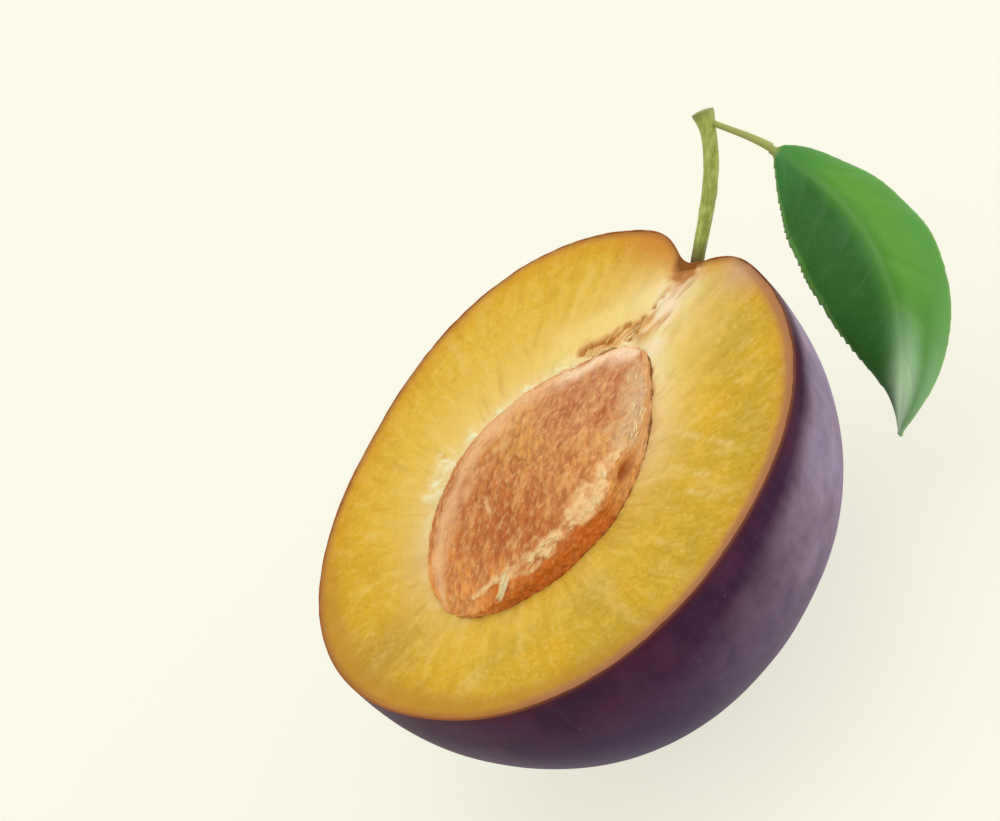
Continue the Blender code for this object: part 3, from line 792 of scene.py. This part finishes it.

# %% [markdown]
# Stone finish
#
# Plum stone: damp unfinished wood of a nut-like shell, stained orange by the juice. Dry ridges scatter
# light and look pinkish beige, and wet pits are darker and redder. The steep side below the crest is painted
# the strongest, darker orange, partly stain and partly painted shade. Wood's IOR is about 1.5, and the
# surface is rough with only a faint wet coat.

# %% Stone material
plum_stone, tree, shader, where, mark = new_material(
    "damp plum stone", stone_marks, IOR=1.5, Specular_IOR_Level=0.25, Coat_Weight=0.03, Coat_Roughness=0.4,
    Subsurface_Weight=0.08, Subsurface_Scale=0.6 * MM, Subsurface_Radius=(1.0, 0.45, 0.2))
standing = add(tree, "Mapping", {"Vector": where, "Rotation": (0, 0, -GRAIN_TURN), "Scale": (1.0, 0.4, 1.0)})
grit = add(tree, "TexNoise", patches(standing, 0.36, 4.0, 0.7))
blotch = add(tree, "TexNoise", patches(standing, 1.3, 3.0, 0.6))
dry_grit = add(tree, "Math", {0: mark["band"], 1: -0.12, 2: grit}, operation="MULTIPLY_ADD")
stone_colour = paint(tree, mark, "E49E54", [
    ("DCA04A", "ochre", 0.1, 0.9, 0.7),
    ("C2641E", "length", 0.45, -0.70, 0.8),
    ("C67E58", "length", 0.62, 0.97, 0.75),
    ("FFAC56", "blunt_end", 0.0, 1.0, 0.9),
    ("B45A28", blotch, 0.50, 0.66, 0.55),
    ("ECB470", blotch, 0.46, 0.32, 0.5),
    # Partly painted shade: the steep side below the crest is a stronger, darker orange.
    ("DE7822", "band", 0.1, 0.8, 0.85),
    ("E8AC5C", "dry_band", 0.1, 0.9, 0.85),
    ("A04E1E", "pit", 0.25, 1.0, 0.5),
    # Partly painted light: the left margin and the point are paler.
    ("FAC892", "margin", 0.1, 0.9, 0.7),
    ("FFE2BE", "tip_pale", 0.1, 0.9, 0.82),
    ("E4B274", "tip_side", 0.1, 0.9, 0.8),
    ("FAD494", "crest", 0.15, 0.7, 0.85),
    ("B28460", "crest_top", 0.1, 0.9, 0.75),
    ("E0BE94", "torn_top", 0.2, 0.9, 0.5),
    ("F0C48C", "seam", 0.2, 0.9, 0.7),
    ("EEBC72", "grain", 0.2, 0.95, 0.4),
    ("F2C888", dry_grit, 0.53, 0.66, 0.5),
    ("8E441C", dry_grit, 0.45, 0.30, 0.4),
    ("A44C10", "crevice", 0.2, 0.9, 0.9)])
feed(tree, shader, {
    "Base Color": stone_colour,
    "Roughness": add(tree, "MapRange", {"Value": mark["pit"], **limits(0.0, 1.0, 0.70, 0.52)}),
    "Normal": add(tree, "Bump", {"Height": grit, "Distance": 0.05 * MM, "Strength": 0.6})})

stone = knit("plum_stone", stone_rings, plum_stone, stone_marks)
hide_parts("stone")

# %% [markdown]
# Torn fibres
#
# Where the fruit is opened, flesh that clings to the stone tears into fibres. They lie along the stone's
# crest, stand up round the mouth of the hollow and cross the pocket near the stem. Each fibre is a thin
# closed tube that thins out at both ends, and each group of them is one mesh.

# %% Fibres to mesh
FIBRE_SIDES = 6
FIBRE_STEPS = 9
FIBRE_FLATNESS = 0.6
steps = np.linspace(0, 1, FIBRE_STEPS)
chance = np.random.default_rng(7)


def strands(name, paths, widths_mm, tones):
    """One mesh of flattened fibres from paths[fibre, step, xyz], each with a width and a tone."""
    travel = unit(np.gradient(paths, axis=1))
    side = unit(np.cross(travel, UP))[:, :, None]
    above = FIBRE_FLATNESS * np.cross(side, travel[:, :, None])
    turn = np.linspace(0, 2 * np.pi, FIBRE_SIDES, endpoint=False)[:, None]
    taper = np.sin(np.linspace(0.1, np.pi - 0.1, FIBRE_STEPS)) ** 0.6
    girth = (widths_mm[:, None] * MM * taper)[..., None, None]
    points = (paths[:, :, None] + girth * (np.cos(turn) * side + np.sin(turn) * above)).reshape(-1, 3)
    index, one = tube_faces(FIBRE_STEPS, FIBRE_SIDES)
    one = one + [index[0][::-1].tolist(), index[-1].tolist()]
    starts = range(0, len(points), index.size)
    faces = [[corner + start for corner in corners] for start in starts for corners in one]
    piece = show(name, points, faces, plum_fibre, {"tone": np.repeat(tones, index.size)})


# %% [markdown]
# Fibre finish
#
# Torn fibre: plant strings wet with juice, nearly white where they are thin and amber where they lie in a
# wet hollow. They let light through, so subsurface scattering keeps them soft and bright.

# %% Fibre material
plum_fibre, tree, shader, _, mark = new_material(
    "torn plum fibre", ["tone"], IOR=1.38, Coat_Weight=0.1, Coat_Roughness=0.3, Roughness=0.5,
    Subsurface_Weight=0.3, Subsurface_Scale=0.5 * MM, Subsurface_Radius=(1.0, 0.6, 0.25))
fibre_coats = [("F2B45C", "tone", 0.2, 0.6, 1.0), ("BC6C20", "tone", 0.6, 1.0, 1.0)]
feed(tree, shader, {"Base Color": paint(tree, mark, "FFE4A4", fibre_coats)})

# %% [markdown]
# Fibres on the stone
#
# They follow the crest at slightly different slants, rise a little in the middle and come down again onto
# the rough surface. A short tuft sits near the blunt end.

# %% Stone fibres
CREST_FIBRES = 44
TUFT_FIBRES = 16
TUFT_RANGES = ((148.5, 151), (44, 53), (4, 7), (-16, -8))


def stone_fibres(tilt, turn, tilt_run, turn_run, lift):
    """Fibre paths on the stone, from a start and a run in tilt and in turn, arched up by a lift."""
    tilts = tilt[:, None] + tilt_run[:, None] * steps
    places, _ = stone_surface(tilts, turn[:, None] + turn_run[:, None] * steps)
    return places + (lift[:, None] * (0.15 + np.sin(np.pi * steps)))[..., None] * unit(UP + 0.3 * ACROSS_AXIS)


tilt = np.radians(150 - 138 * chance.uniform(0, 1, CREST_FIBRES) ** 1.2)
tilt_run = np.radians(chance.uniform(2.5, 7, CREST_FIBRES))
turn = np.interp(tilt, *CREST_LINE)
turn_run = np.interp(tilt + tilt_run, *CREST_LINE) - turn
turn = turn + np.radians(chance.normal(0, 1.6, CREST_FIBRES)) * (1 + 1.5 * (tilt < np.radians(55)))
turn_run = turn_run + np.radians(chance.normal(0, 1.5, CREST_FIBRES))
lift = chance.uniform(-0.02, 0.04, CREST_FIBRES) * MM
crest_paths = stone_fibres(tilt, turn, tilt_run, turn_run, lift)
tuft = np.radians([chance.uniform(low, high, TUFT_FIBRES) for low, high in TUFT_RANGES])
tuft_paths = stone_fibres(*tuft, chance.uniform(0.02, 0.16, TUFT_FIBRES) * MM)
widths = np.concatenate([chance.uniform(0.05, 0.11, CREST_FIBRES), chance.uniform(0.10, 0.17, TUFT_FIBRES)])
tones = np.concatenate([chance.uniform(0.05, 0.4, CREST_FIBRES), chance.uniform(0, 0.2, TUFT_FIBRES)])
strands("stone_fibres", np.concatenate([crest_paths, tuft_paths]), widths, tones)

# %% [markdown]
# Fibres round the mouth and in the pocket
#
# Those at the mouth start on the cut face and lean in over the gap to the stone, thickest on the left and
# towards the stem. Those in the pocket hang across it from the bundle of veins to the stone's point.

# %% Mouth fibres
MOUTH_FIBRES = 46
OVERHANG = 0.3
crowd = chance.uniform(-2.2, 0.05, MOUTH_FIBRES)
column = (crowd / (2 * np.pi) * FLESH_AROUND).astype(int)
first_row = chance.integers(FACE_ROWS - 14, FACE_ROWS - 3, MOUTH_FIBRES)[:, None]
drift = chance.normal(0, 12, MOUTH_FIBRES)
reach_in = chance.uniform(0.0, 0.25, MOUTH_FIBRES) * MM
columns = (column[:, None] + np.rint(drift[:, None] * steps)).astype(int) % FLESH_AROUND
rows = np.rint(first_row + (FACE_ROWS - 1 - first_row) * np.minimum(steps * (1 + OVERHANG), 1)).astype(int)
mouth_paths = face[rows, columns]
inwards = unit((STONE_CENTRE - mouth_paths) * [1, 1, 0])
past_edge = np.clip(steps * (1 + OVERHANG) - 1, 0, 1) / OVERHANG
mouth_paths = mouth_paths + inwards * (reach_in[:, None] * past_edge)[..., None]
arch = chance.uniform(0, 0.08, MOUTH_FIBRES)[:, None] * np.sin(np.pi * np.minimum(steps * 1.1, 1))
mouth_paths = mouth_paths + (arch * MM)[..., None] * UP
strands("mouth_fibres", mouth_paths, chance.uniform(0.04, 0.09, MOUTH_FIBRES),
        chance.uniform(0.2, 0.5, MOUTH_FIBRES))

# %% Pocket fibres
POCKET_FIBRES = 16
foot_x = chance.uniform(-4.0, 3.4, POCKET_FIBRES)
foot_y = 10.1 + 1.3 * np.clip(1 - np.abs(foot_x - 1.4) / 4, -1, 1) + chance.normal(0, 0.5, POCKET_FIBRES)
foot = np.stack([foot_x, foot_y, chance.uniform(-0.3, 0.0, POCKET_FIBRES)], -1)
run = [chance.uniform(low, high, POCKET_FIBRES) for low, high in ((0.2, 1.2), (1.2, 3.4))]
run = np.stack([*run, np.zeros(POCKET_FIBRES)], -1) * np.clip((foot_x + 5) / 5, 0.3, 1)[:, None]
run[:, 2] = chance.uniform(-0.1, 0.06, POCKET_FIBRES) - foot[:, 2]
pocket_paths = (foot[:, None] + run[:, None] * steps[:, None]) * MM
sag = -0.1 * MM * np.sin(np.pi * steps) * chance.uniform(0, 1, POCKET_FIBRES)[:, None]
pocket_paths = pocket_paths + sag[..., None] * UP
bends = np.stack([cloud(pocket_paths, 0.9, seed, layers=1) for seed in (71, 72, 73)], -1)
pocket_paths = pocket_paths + 0.12 * MM * bends
tones = np.clip(0.45 - 0.4 * pocket_paths[:, 4, 2] / MM + chance.normal(0, 0.16, POCKET_FIBRES), 0, 1)
strands("pocket_fibres", pocket_paths, chance.uniform(0.07, 0.16, POCKET_FIBRES), tones)

# %% [markdown]
# Stem
#
# The stem is a short woody stalk, a little ridged. Its foot is slimmer and sunk in the cavity of the fruit,
# and its top widens into a knob where it came off the twig. It follows the same curve as its solid and
# reaches a little deeper, so that it grows out of the fruit.

# %% Stem mesh
STEM_CURVE = np.array([(1.87, 21.0, -1.1), (2.1, 24.3, 0.75), (2.6, 28.6, 2.8), (1.12, 31.0, 5.75)]) * MM
STEM_FOOT = -0.36
STEM_RADIUS = 0.66
STEM_SIDES = 48
STEM_ROWS = 160
CROWN_ROWS = 7
CROWN_RISE = 0.16 * MM


def cubic(points, t):
    """Points of a cubic curve and its directions of travel."""
    a, b, c, d = points
    t = t[:, None]
    s = 1 - t
    place = s ** 3 * a + 3 * s * s * t * b + 3 * s * t * t * c + t ** 3 * d
    return place, unit(3 * s * s * (b - a) + 6 * s * t * (c - b) + 3 * t * t * (d - c))


t = np.linspace(STEM_FOOT, 1, STEM_ROWS)
place, travel = cubic(STEM_CURVE, t)
t = t[:, None]
side = unit(np.cross(travel, np.array([1.0, 0.0, 0.0])))
other = np.cross(travel, side)
turn = np.linspace(0, 2 * np.pi, STEM_SIDES, endpoint=False)
section = np.cos(turn)[:, None] * side[:, None] + np.sin(turn)[:, None] * other[:, None]
core = place[:, None] + STEM_RADIUS * MM * section
flare = 0.3 * bell(1 - t, 0.09) - 0.1 * bell(np.maximum(t, 0), 0.3)
swell = 1 + 0.04 * np.cos(3 * turn + 2 * t) + 0.02 * np.cos(7 * turn)
girth = (STEM_RADIUS + flare) * swell + 0.03 * cloud(core, 0.9, 61)
stem_rings = place[:, None] + girth[..., None] * MM * section
crown_share = np.cos(np.linspace(0, 1, CROWN_ROWS + 1)[1:] * np.pi / 2)[:, None, None]
crown = place[-1] + (stem_rings[-1] - place[-1]) * (0.05 + 0.95 * crown_share)
crown = crown + travel[-1] * CROWN_RISE * (1 - crown_share ** 2)
stem_rings = np.concatenate([stem_rings, crown])
stem_marks = {"along": np.broadcast_to(np.append(t, np.ones(CROWN_ROWS))[:, None], stem_rings.shape[:2])}

# %% [markdown]
# Stem finish
#
# Green stalk: living bark, smooth and matt, yellow-green, browner at the foot and the
# knob where it has dried. Fine streaks run along it.

# %% Stem material
plum_stem, tree, shader, where, mark = new_material(
    "green plum stalk", stem_marks, IOR=1.45, Roughness=0.5, Subsurface_Weight=0.15,
    Subsurface_Scale=0.5 * MM, Sheen_Weight=0.1)
stretch = add(tree, "Mapping", {"Vector": where, "Scale": (1.0, 0.2, 0.35)})
streaks = add(tree, "TexNoise", patches(stretch, 0.22))
stem_colour = paint(tree, mark, "93A03E", [
    ("C6D272", streaks, 0.35, 0.7, 0.75),
    ("7F8440", "along", 0.93, 1.0, 0.8),
    ("6E5A28", "along", 0.14, -0.02, 0.85)])
bump = add(tree, "Bump", {"Height": streaks, "Distance": 0.03 * MM, "Strength": 0.4})
feed(tree, shader, {"Base Color": stem_colour, "Normal": bump})

stem = knit("plum_stem", stem_rings, plum_stem, stem_marks)
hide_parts("stem")

# %% [markdown]
# Leaf
#
# The leaf is one surface: a round stalk that flattens into a blade. The midrib is a sunk line on the
# upper face and a raised cord below, and seven pairs of side veins curve towards the tip with the blade
# puffed up between them. The edge has small teeth that lean forwards.

# %% Leaf blade
MIDRIB_CURVE = np.array([
    (8.11, 29.75, 3.35), (11.18, 29.89, -2.48), (23.35, 25.34, -2.49), (18.65, 14.49, -15.2)]) * MM
BLADE_FACING_START = np.array([0.488, 0.219, 0.395])
BLADE_FACING_END = np.array([0.07, 0.25, 0.547])
BLADE_NEAR_WIDTH = 6.47 * MM
BLADE_FAR_WIDTH = 5.98 * MM
BLADE_BASE_POWER = 0.89
BLADE_TIP_POWER = 0.85
BLADE_CURL = 0.18
BLADE_THICKNESS = 0.34 * MM
BLADE_LENGTH = 29.0
TEETH = 30
TOOTH_DEPTH = 0.16 * MM
VEIN_PAIRS = 7
BLADE_ROWS = 320
COLUMNS = 61


def blade_frame(travel, t):
    """Directions out of the leaf's upper face and across it."""
    facing = (1 - t)[:, None] * BLADE_FACING_START + t[:, None] * BLADE_FACING_END
    facing = unit(facing - np.sum(facing * travel, axis=1, keepdims=True) * travel)
    return facing, np.cross(travel, facing)


s = np.linspace(-1, 1, COLUMNS)[None, :]
t = np.linspace(0.0, 1, BLADE_ROWS)
place, travel = cubic(MIDRIB_CURVE, t)
facing, across = blade_frame(travel, t)
t = t[:, None]
widest = BLADE_BASE_POWER / (BLADE_BASE_POWER + BLADE_TIP_POWER)
outline = (t / widest) ** BLADE_BASE_POWER * ((1 - t) / (1 - widest)) ** BLADE_TIP_POWER
inner = np.clip(4 * outline, 0, 1)
full = np.where(s > 0, BLADE_NEAR_WIDTH, BLADE_FAR_WIDTH)
saw = (t * TEETH + 0.5 * np.sin(23 * t)) % 1.0
tooth = TOOTH_DEPTH * (saw ** 1.5 - 0.4) * inner * np.where(s > 0, 1.0, 0.25) * (1 + 0.5 * np.sin(41 * t))
width = np.maximum(full * outline + tooth * np.abs(s) ** 6, 0.3 * MM)
beside_rib = np.abs(s) * width / MM
print("leaf width mm", round(float((BLADE_NEAR_WIDTH + BLADE_FAR_WIDTH) / MM), 1))

# %% [markdown]
# Veins of the leaf
#
# Each side vein leaves the midrib at a slant and bends towards the tip, so its place is a phase that grows
# along the leaf and falls back away from the midrib. The blade puffs up between the veins.

# %% Leaf relief
vein_phase = VEIN_PAIRS * (t * 1.05 - 0.17 * np.abs(s) ** 0.8) - 0.1
vein_gap = np.abs((vein_phase + 0.5) % 1.0 - 0.5) * BLADE_LENGTH / VEIN_PAIRS
side_vein = bell(vein_gap, 0.16) * np.clip(1.1 - np.abs(s), 0, 1) ** 0.5 * inner * (t < 0.97)
puff = 0.10 * (1 - bell(vein_gap, 0.75)) * np.clip(beside_rib, 0, 1) * (1 - np.abs(s) ** 4) * outline
rib = bell(beside_rib, 0.3 + 0.2 * (1 - t))
wave = 0.12 * outline * np.abs(s) ** 3 * np.sin(2 * np.pi * (t * 4.5 + 0.2 * np.sign(s)))
bend = (puff - 0.03 * side_vein + wave) * MM - s * s * full * outline * BLADE_CURL
half = BLADE_THICKNESS / 2 * (1 - 0.45 * np.abs(s) ** 8)
cord = 0.28 * MM * rib * (1 - 0.7 * t) + 0.05 * MM * side_vein
middle = place[:, None] + across[:, None] * (s * width)[..., None] + facing[:, None] * bend[..., None]
upper = middle + facing[:, None] * (half - 0.10 * MM * rib)[..., None]
lower = middle - facing[:, None] * (half + cord)[..., None]
blade = np.concatenate([upper, lower[:, ::-1]], axis=1)

# %% Leaf stalk
STALK_CURVE = np.array([(1.9, 30.6, 4.9), (4.1, 30.4, 4.2), (6.9, 29.75, 4.9), (8.11, 29.75, 3.35)]) * MM
STALK_ROWS = 50
JOIN_ROWS = 14

t_stalk = np.linspace(0, 1, STALK_ROWS, endpoint=False)
place, travel = cubic(STALK_CURVE, t_stalk)
facing, across = blade_frame(travel, np.zeros_like(t_stalk))
turn = np.linspace(0.03, 0.97, COLUMNS)[:, None] * np.pi
radius = (0.27 + 0.13 * t_stalk ** 2)[:, None, None] * MM
ahead, above = -np.cos(turn) * across[:, None], np.sin(turn) * facing[:, None]
front, rear = place[:, None] + radius * (ahead + above), place[:, None] + radius * (ahead - above)
stalk = np.concatenate([front, rear[:, ::-1]], axis=1)
join = rise(np.arange(BLADE_ROWS), 0, JOIN_ROWS)[:, None]
round_end = stalk[-1] - place[-1] + blade.mean(axis=1, keepdims=True)
leaf_rings = np.concatenate([stalk, round_end + (blade - round_end) * join[..., None]])

# %% [markdown]
# Marks on the leaf
#
# The same marks lie on both faces of the blade, and one more tells the upper face from the lower. The
# stalk is marked as rib and as stalk all over.

# %% Leaf marks
near_tip = rise(t, 0.8, 1.0)
# Painted highlight on the fold towards the tip, and painted light beside the midrib near the stalk.
tip_light = np.maximum(bell(s + 0.12 - 0.1 * near_tip, 0.28 + 0.28 * near_tip), 0.3 * bell(s + 0.85, 0.35))
blade_marks = {
    "rib": rib, "stalk": 1 - join, "side_vein": side_vein, "across": s, "base": 1 - rise(t, 0.05, 0.3),
    "edge": rise(np.abs(s), 0.9, 1.0), "tip_light": tip_light * rise(t, 0.62, 0.98) ** 1.8,
    "fold_light": bell(s + 0.35, 0.4) * rise(t, 0.05, 0.35) * (1 - rise(t, 0.6, 0.9))}
leaf_marks = {}
for key, value in blade_marks.items():
    value = np.broadcast_to(value, (BLADE_ROWS, COLUMNS))
    on_stalk = np.full((STALK_ROWS, 2 * COLUMNS), float(key in ("rib", "stalk")))
    leaf_marks[key] = np.concatenate([on_stalk, np.concatenate([value, value[:, ::-1]], axis=1)])
leaf_marks["upper"] = np.broadcast_to(np.repeat([1.0, 0.0], COLUMNS), leaf_rings.shape[:2])

# %% [markdown]
# Leaf finish
#
# Plum leaf: living blade with a thin waxy skin, satin on top and paler and matt below. The half that turns
# from the light is painted a deep green, as painted shade, and the other a fresh yellow-green, lighter still
# at its edge as painted light; veins are paler than the blade, and light comes through it, which a little
# subsurface scattering gives. The fold towards the tip has a painted pale highlight.

# %% Leaf material
plum_leaf, tree, shader, where, mark = new_material(
    "satin plum leaf", leaf_marks, IOR=1.45, Specular_IOR_Level=0.15, Coat_Weight=0.02, Coat_Roughness=0.3,
    Subsurface_Weight=0.1, Subsurface_Scale=0.5 * MM, Subsurface_Radius=(0.6, 1.0, 0.3))
mottle = add(tree, "TexNoise", patches(where, 1.4, 4.0, 0.6))
net = add(tree, "TexVoronoi", {"Vector": where, "Scale": 1 / (0.55 * MM)}, feature="DISTANCE_TO_EDGE")
leaf_colour = paint(tree, mark, "4E8F34", [
    # Painted shade: the half of the blade that turns from the light is darker.
    ("285A20", "across", -0.25, 0.3, 0.9),
    ("37752A", mottle, 0.4, 0.7, 0.35),
    # Painted light: a lighter band beside the midrib, nearer the stalk.
    ("5E9E30", "fold_light", 0.1, 0.9, 0.6),
    ("5F9A40", net, 0.07, 0.0, 0.08),
    ("6F9C50", "side_vein", 0.0, 1.0, 0.08),
    ("8DB578", "rib", 0.1, 1.0, 0.12),
    # Painted light: the edge of the lit half is lighter.
    ("5E9E48", "across", -0.45, -0.9, 0.55),
    ("3E8038", "base", 0.1, 1.0, 0.6),
    ("7CA858", "edge", 0.2, 1.0, 0.45),
    # Painted highlight on the fold towards the tip.
    ("D2F4CA", "tip_light", 0.0, 0.8, 0.85),
    ("8FB07A", "upper", 1.0, 0.0, 1.0),
    ("A3A860", "stalk", 0.0, 1.0, 1.0)])
feed(tree, shader, {
    "Base Color": leaf_colour,
    "Roughness": add(tree, "MapRange", {"Value": mark["upper"], **limits(0.0, 1.0, 0.6, 0.42)}),
    "Normal": add(tree, "Bump", {"Height": net, "Distance": 0.04 * MM, "Strength": 0.3})})

leaf = knit("plum_leaf", leaf_rings, plum_leaf, leaf_marks, tips=False)
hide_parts("leaf")

# %% [markdown]
# Floor and camera
#
# The fruit rests on a plain cream light table, which is lit a little from below so that shadows stay faint.
# The camera looks down at it from 41 degrees and is rolled, as someone tilting the camera would, so that
# the fruit stands on its edge in the picture as it does in the photograph.

# %% Floor
FLOOR_DROP = 0.02 * MM
floor_paper, *_ = new_material(
    "cream light table", (), Roughness=0.9, Specular_IOR_Level=0.2, Base_Color=linear("918F86"),
    Emission_Color=linear("FCFBEA"), Emission_Strength=0.72)
bpy.ops.mesh.primitive_plane_add(size=3.0, location=(0, 0, -FLOOR_DROP))
floor = bpy.context.object
floor.name = "studio_floor"
floor.data.materials.append(floor_paper)

# %% Camera
CAMERA_RIGHT = Vector((0.7345, 0.4392, -0.5173))
CAMERA_UP = Vector((-0.1144, 0.8315, 0.5436))
CAMERA_BACK = Vector((0.6689, -0.3401, 0.6610))
CAMERA_DISTANCE = 800 * MM
PIXELS_PER_MM = 12.0
IMAGE_WIDTH, IMAGE_HEIGHT = 1000, 821
CENTRE_PIXEL = (565.3, 454.75)
SENSOR = 36.0

centre = Vector((0, 0, CUT_HEIGHT))
eye = centre + CAMERA_BACK * CAMERA_DISTANCE
aim = centre - CAMERA_RIGHT * (CENTRE_PIXEL[0] - IMAGE_WIDTH / 2) / PIXELS_PER_MM * MM
aim = aim + CAMERA_UP * (CENTRE_PIXEL[1] - IMAGE_HEIGHT / 2) / PIXELS_PER_MM * MM
look_back = (eye - aim).normalized()
look_right = (CAMERA_RIGHT - look_back * CAMERA_RIGHT.dot(look_back)).normalized()
look_up = look_back.cross(look_right)
camera_data = bpy.data.cameras.new("camera")
camera_data.sensor_width = SENSOR
camera_data.lens = SENSOR * PIXELS_PER_MM * CAMERA_DISTANCE / MM / IMAGE_WIDTH
camera = bpy.data.objects.new("camera", camera_data)
bpy.context.collection.objects.link(camera)
turned = Matrix((look_right, look_up, look_back)).transposed().to_4x4()
camera.matrix_world = Matrix.Translation(eye) @ turned
bpy.context.scene.camera = camera
print("lens mm", round(camera_data.lens, 1))

# %% [markdown]
# Light
#
# A white room lights the fruit from all sides. One broad lamp above gives the soft shading of the cut face,
# and a cooler one, low and beyond the fruit on the right, catches the bloom and the tip of the leaf.


# %% Lamps
def lamp(name, towards, distance, size, power, hex_colour):
    """A soft square lamp that looks at the fruit from a direction."""
    data = bpy.data.lights.new(name, "AREA")
    data.size = size
    data.energy = power
    data.color = linear(hex_colour)[:3]
    light = bpy.data.objects.new(name, data)
    bpy.context.collection.objects.link(light)
    light.location = centre + towards.normalized() * distance
    light.rotation_euler = towards.to_track_quat("Z", "Y").to_euler()


lamp("key_window", Vector((-0.16, 0.25, 1.05)), 0.9, 0.9, 2.5, "FFF9EE")
lamp("rim_window", Vector((0.67, 0.69, 0.27)), 0.6, 0.4, 1.2, "E9E8FF")
world = bpy.context.scene.world or bpy.data.worlds.new("studio")
bpy.context.scene.world = world
world.use_nodes = True
feed(world.node_tree, world.node_tree.nodes["Background"], {"Color": linear("FFFEFA"), "Strength": 0.68})
bpy.context.scene.view_settings.view_transform = "Standard"
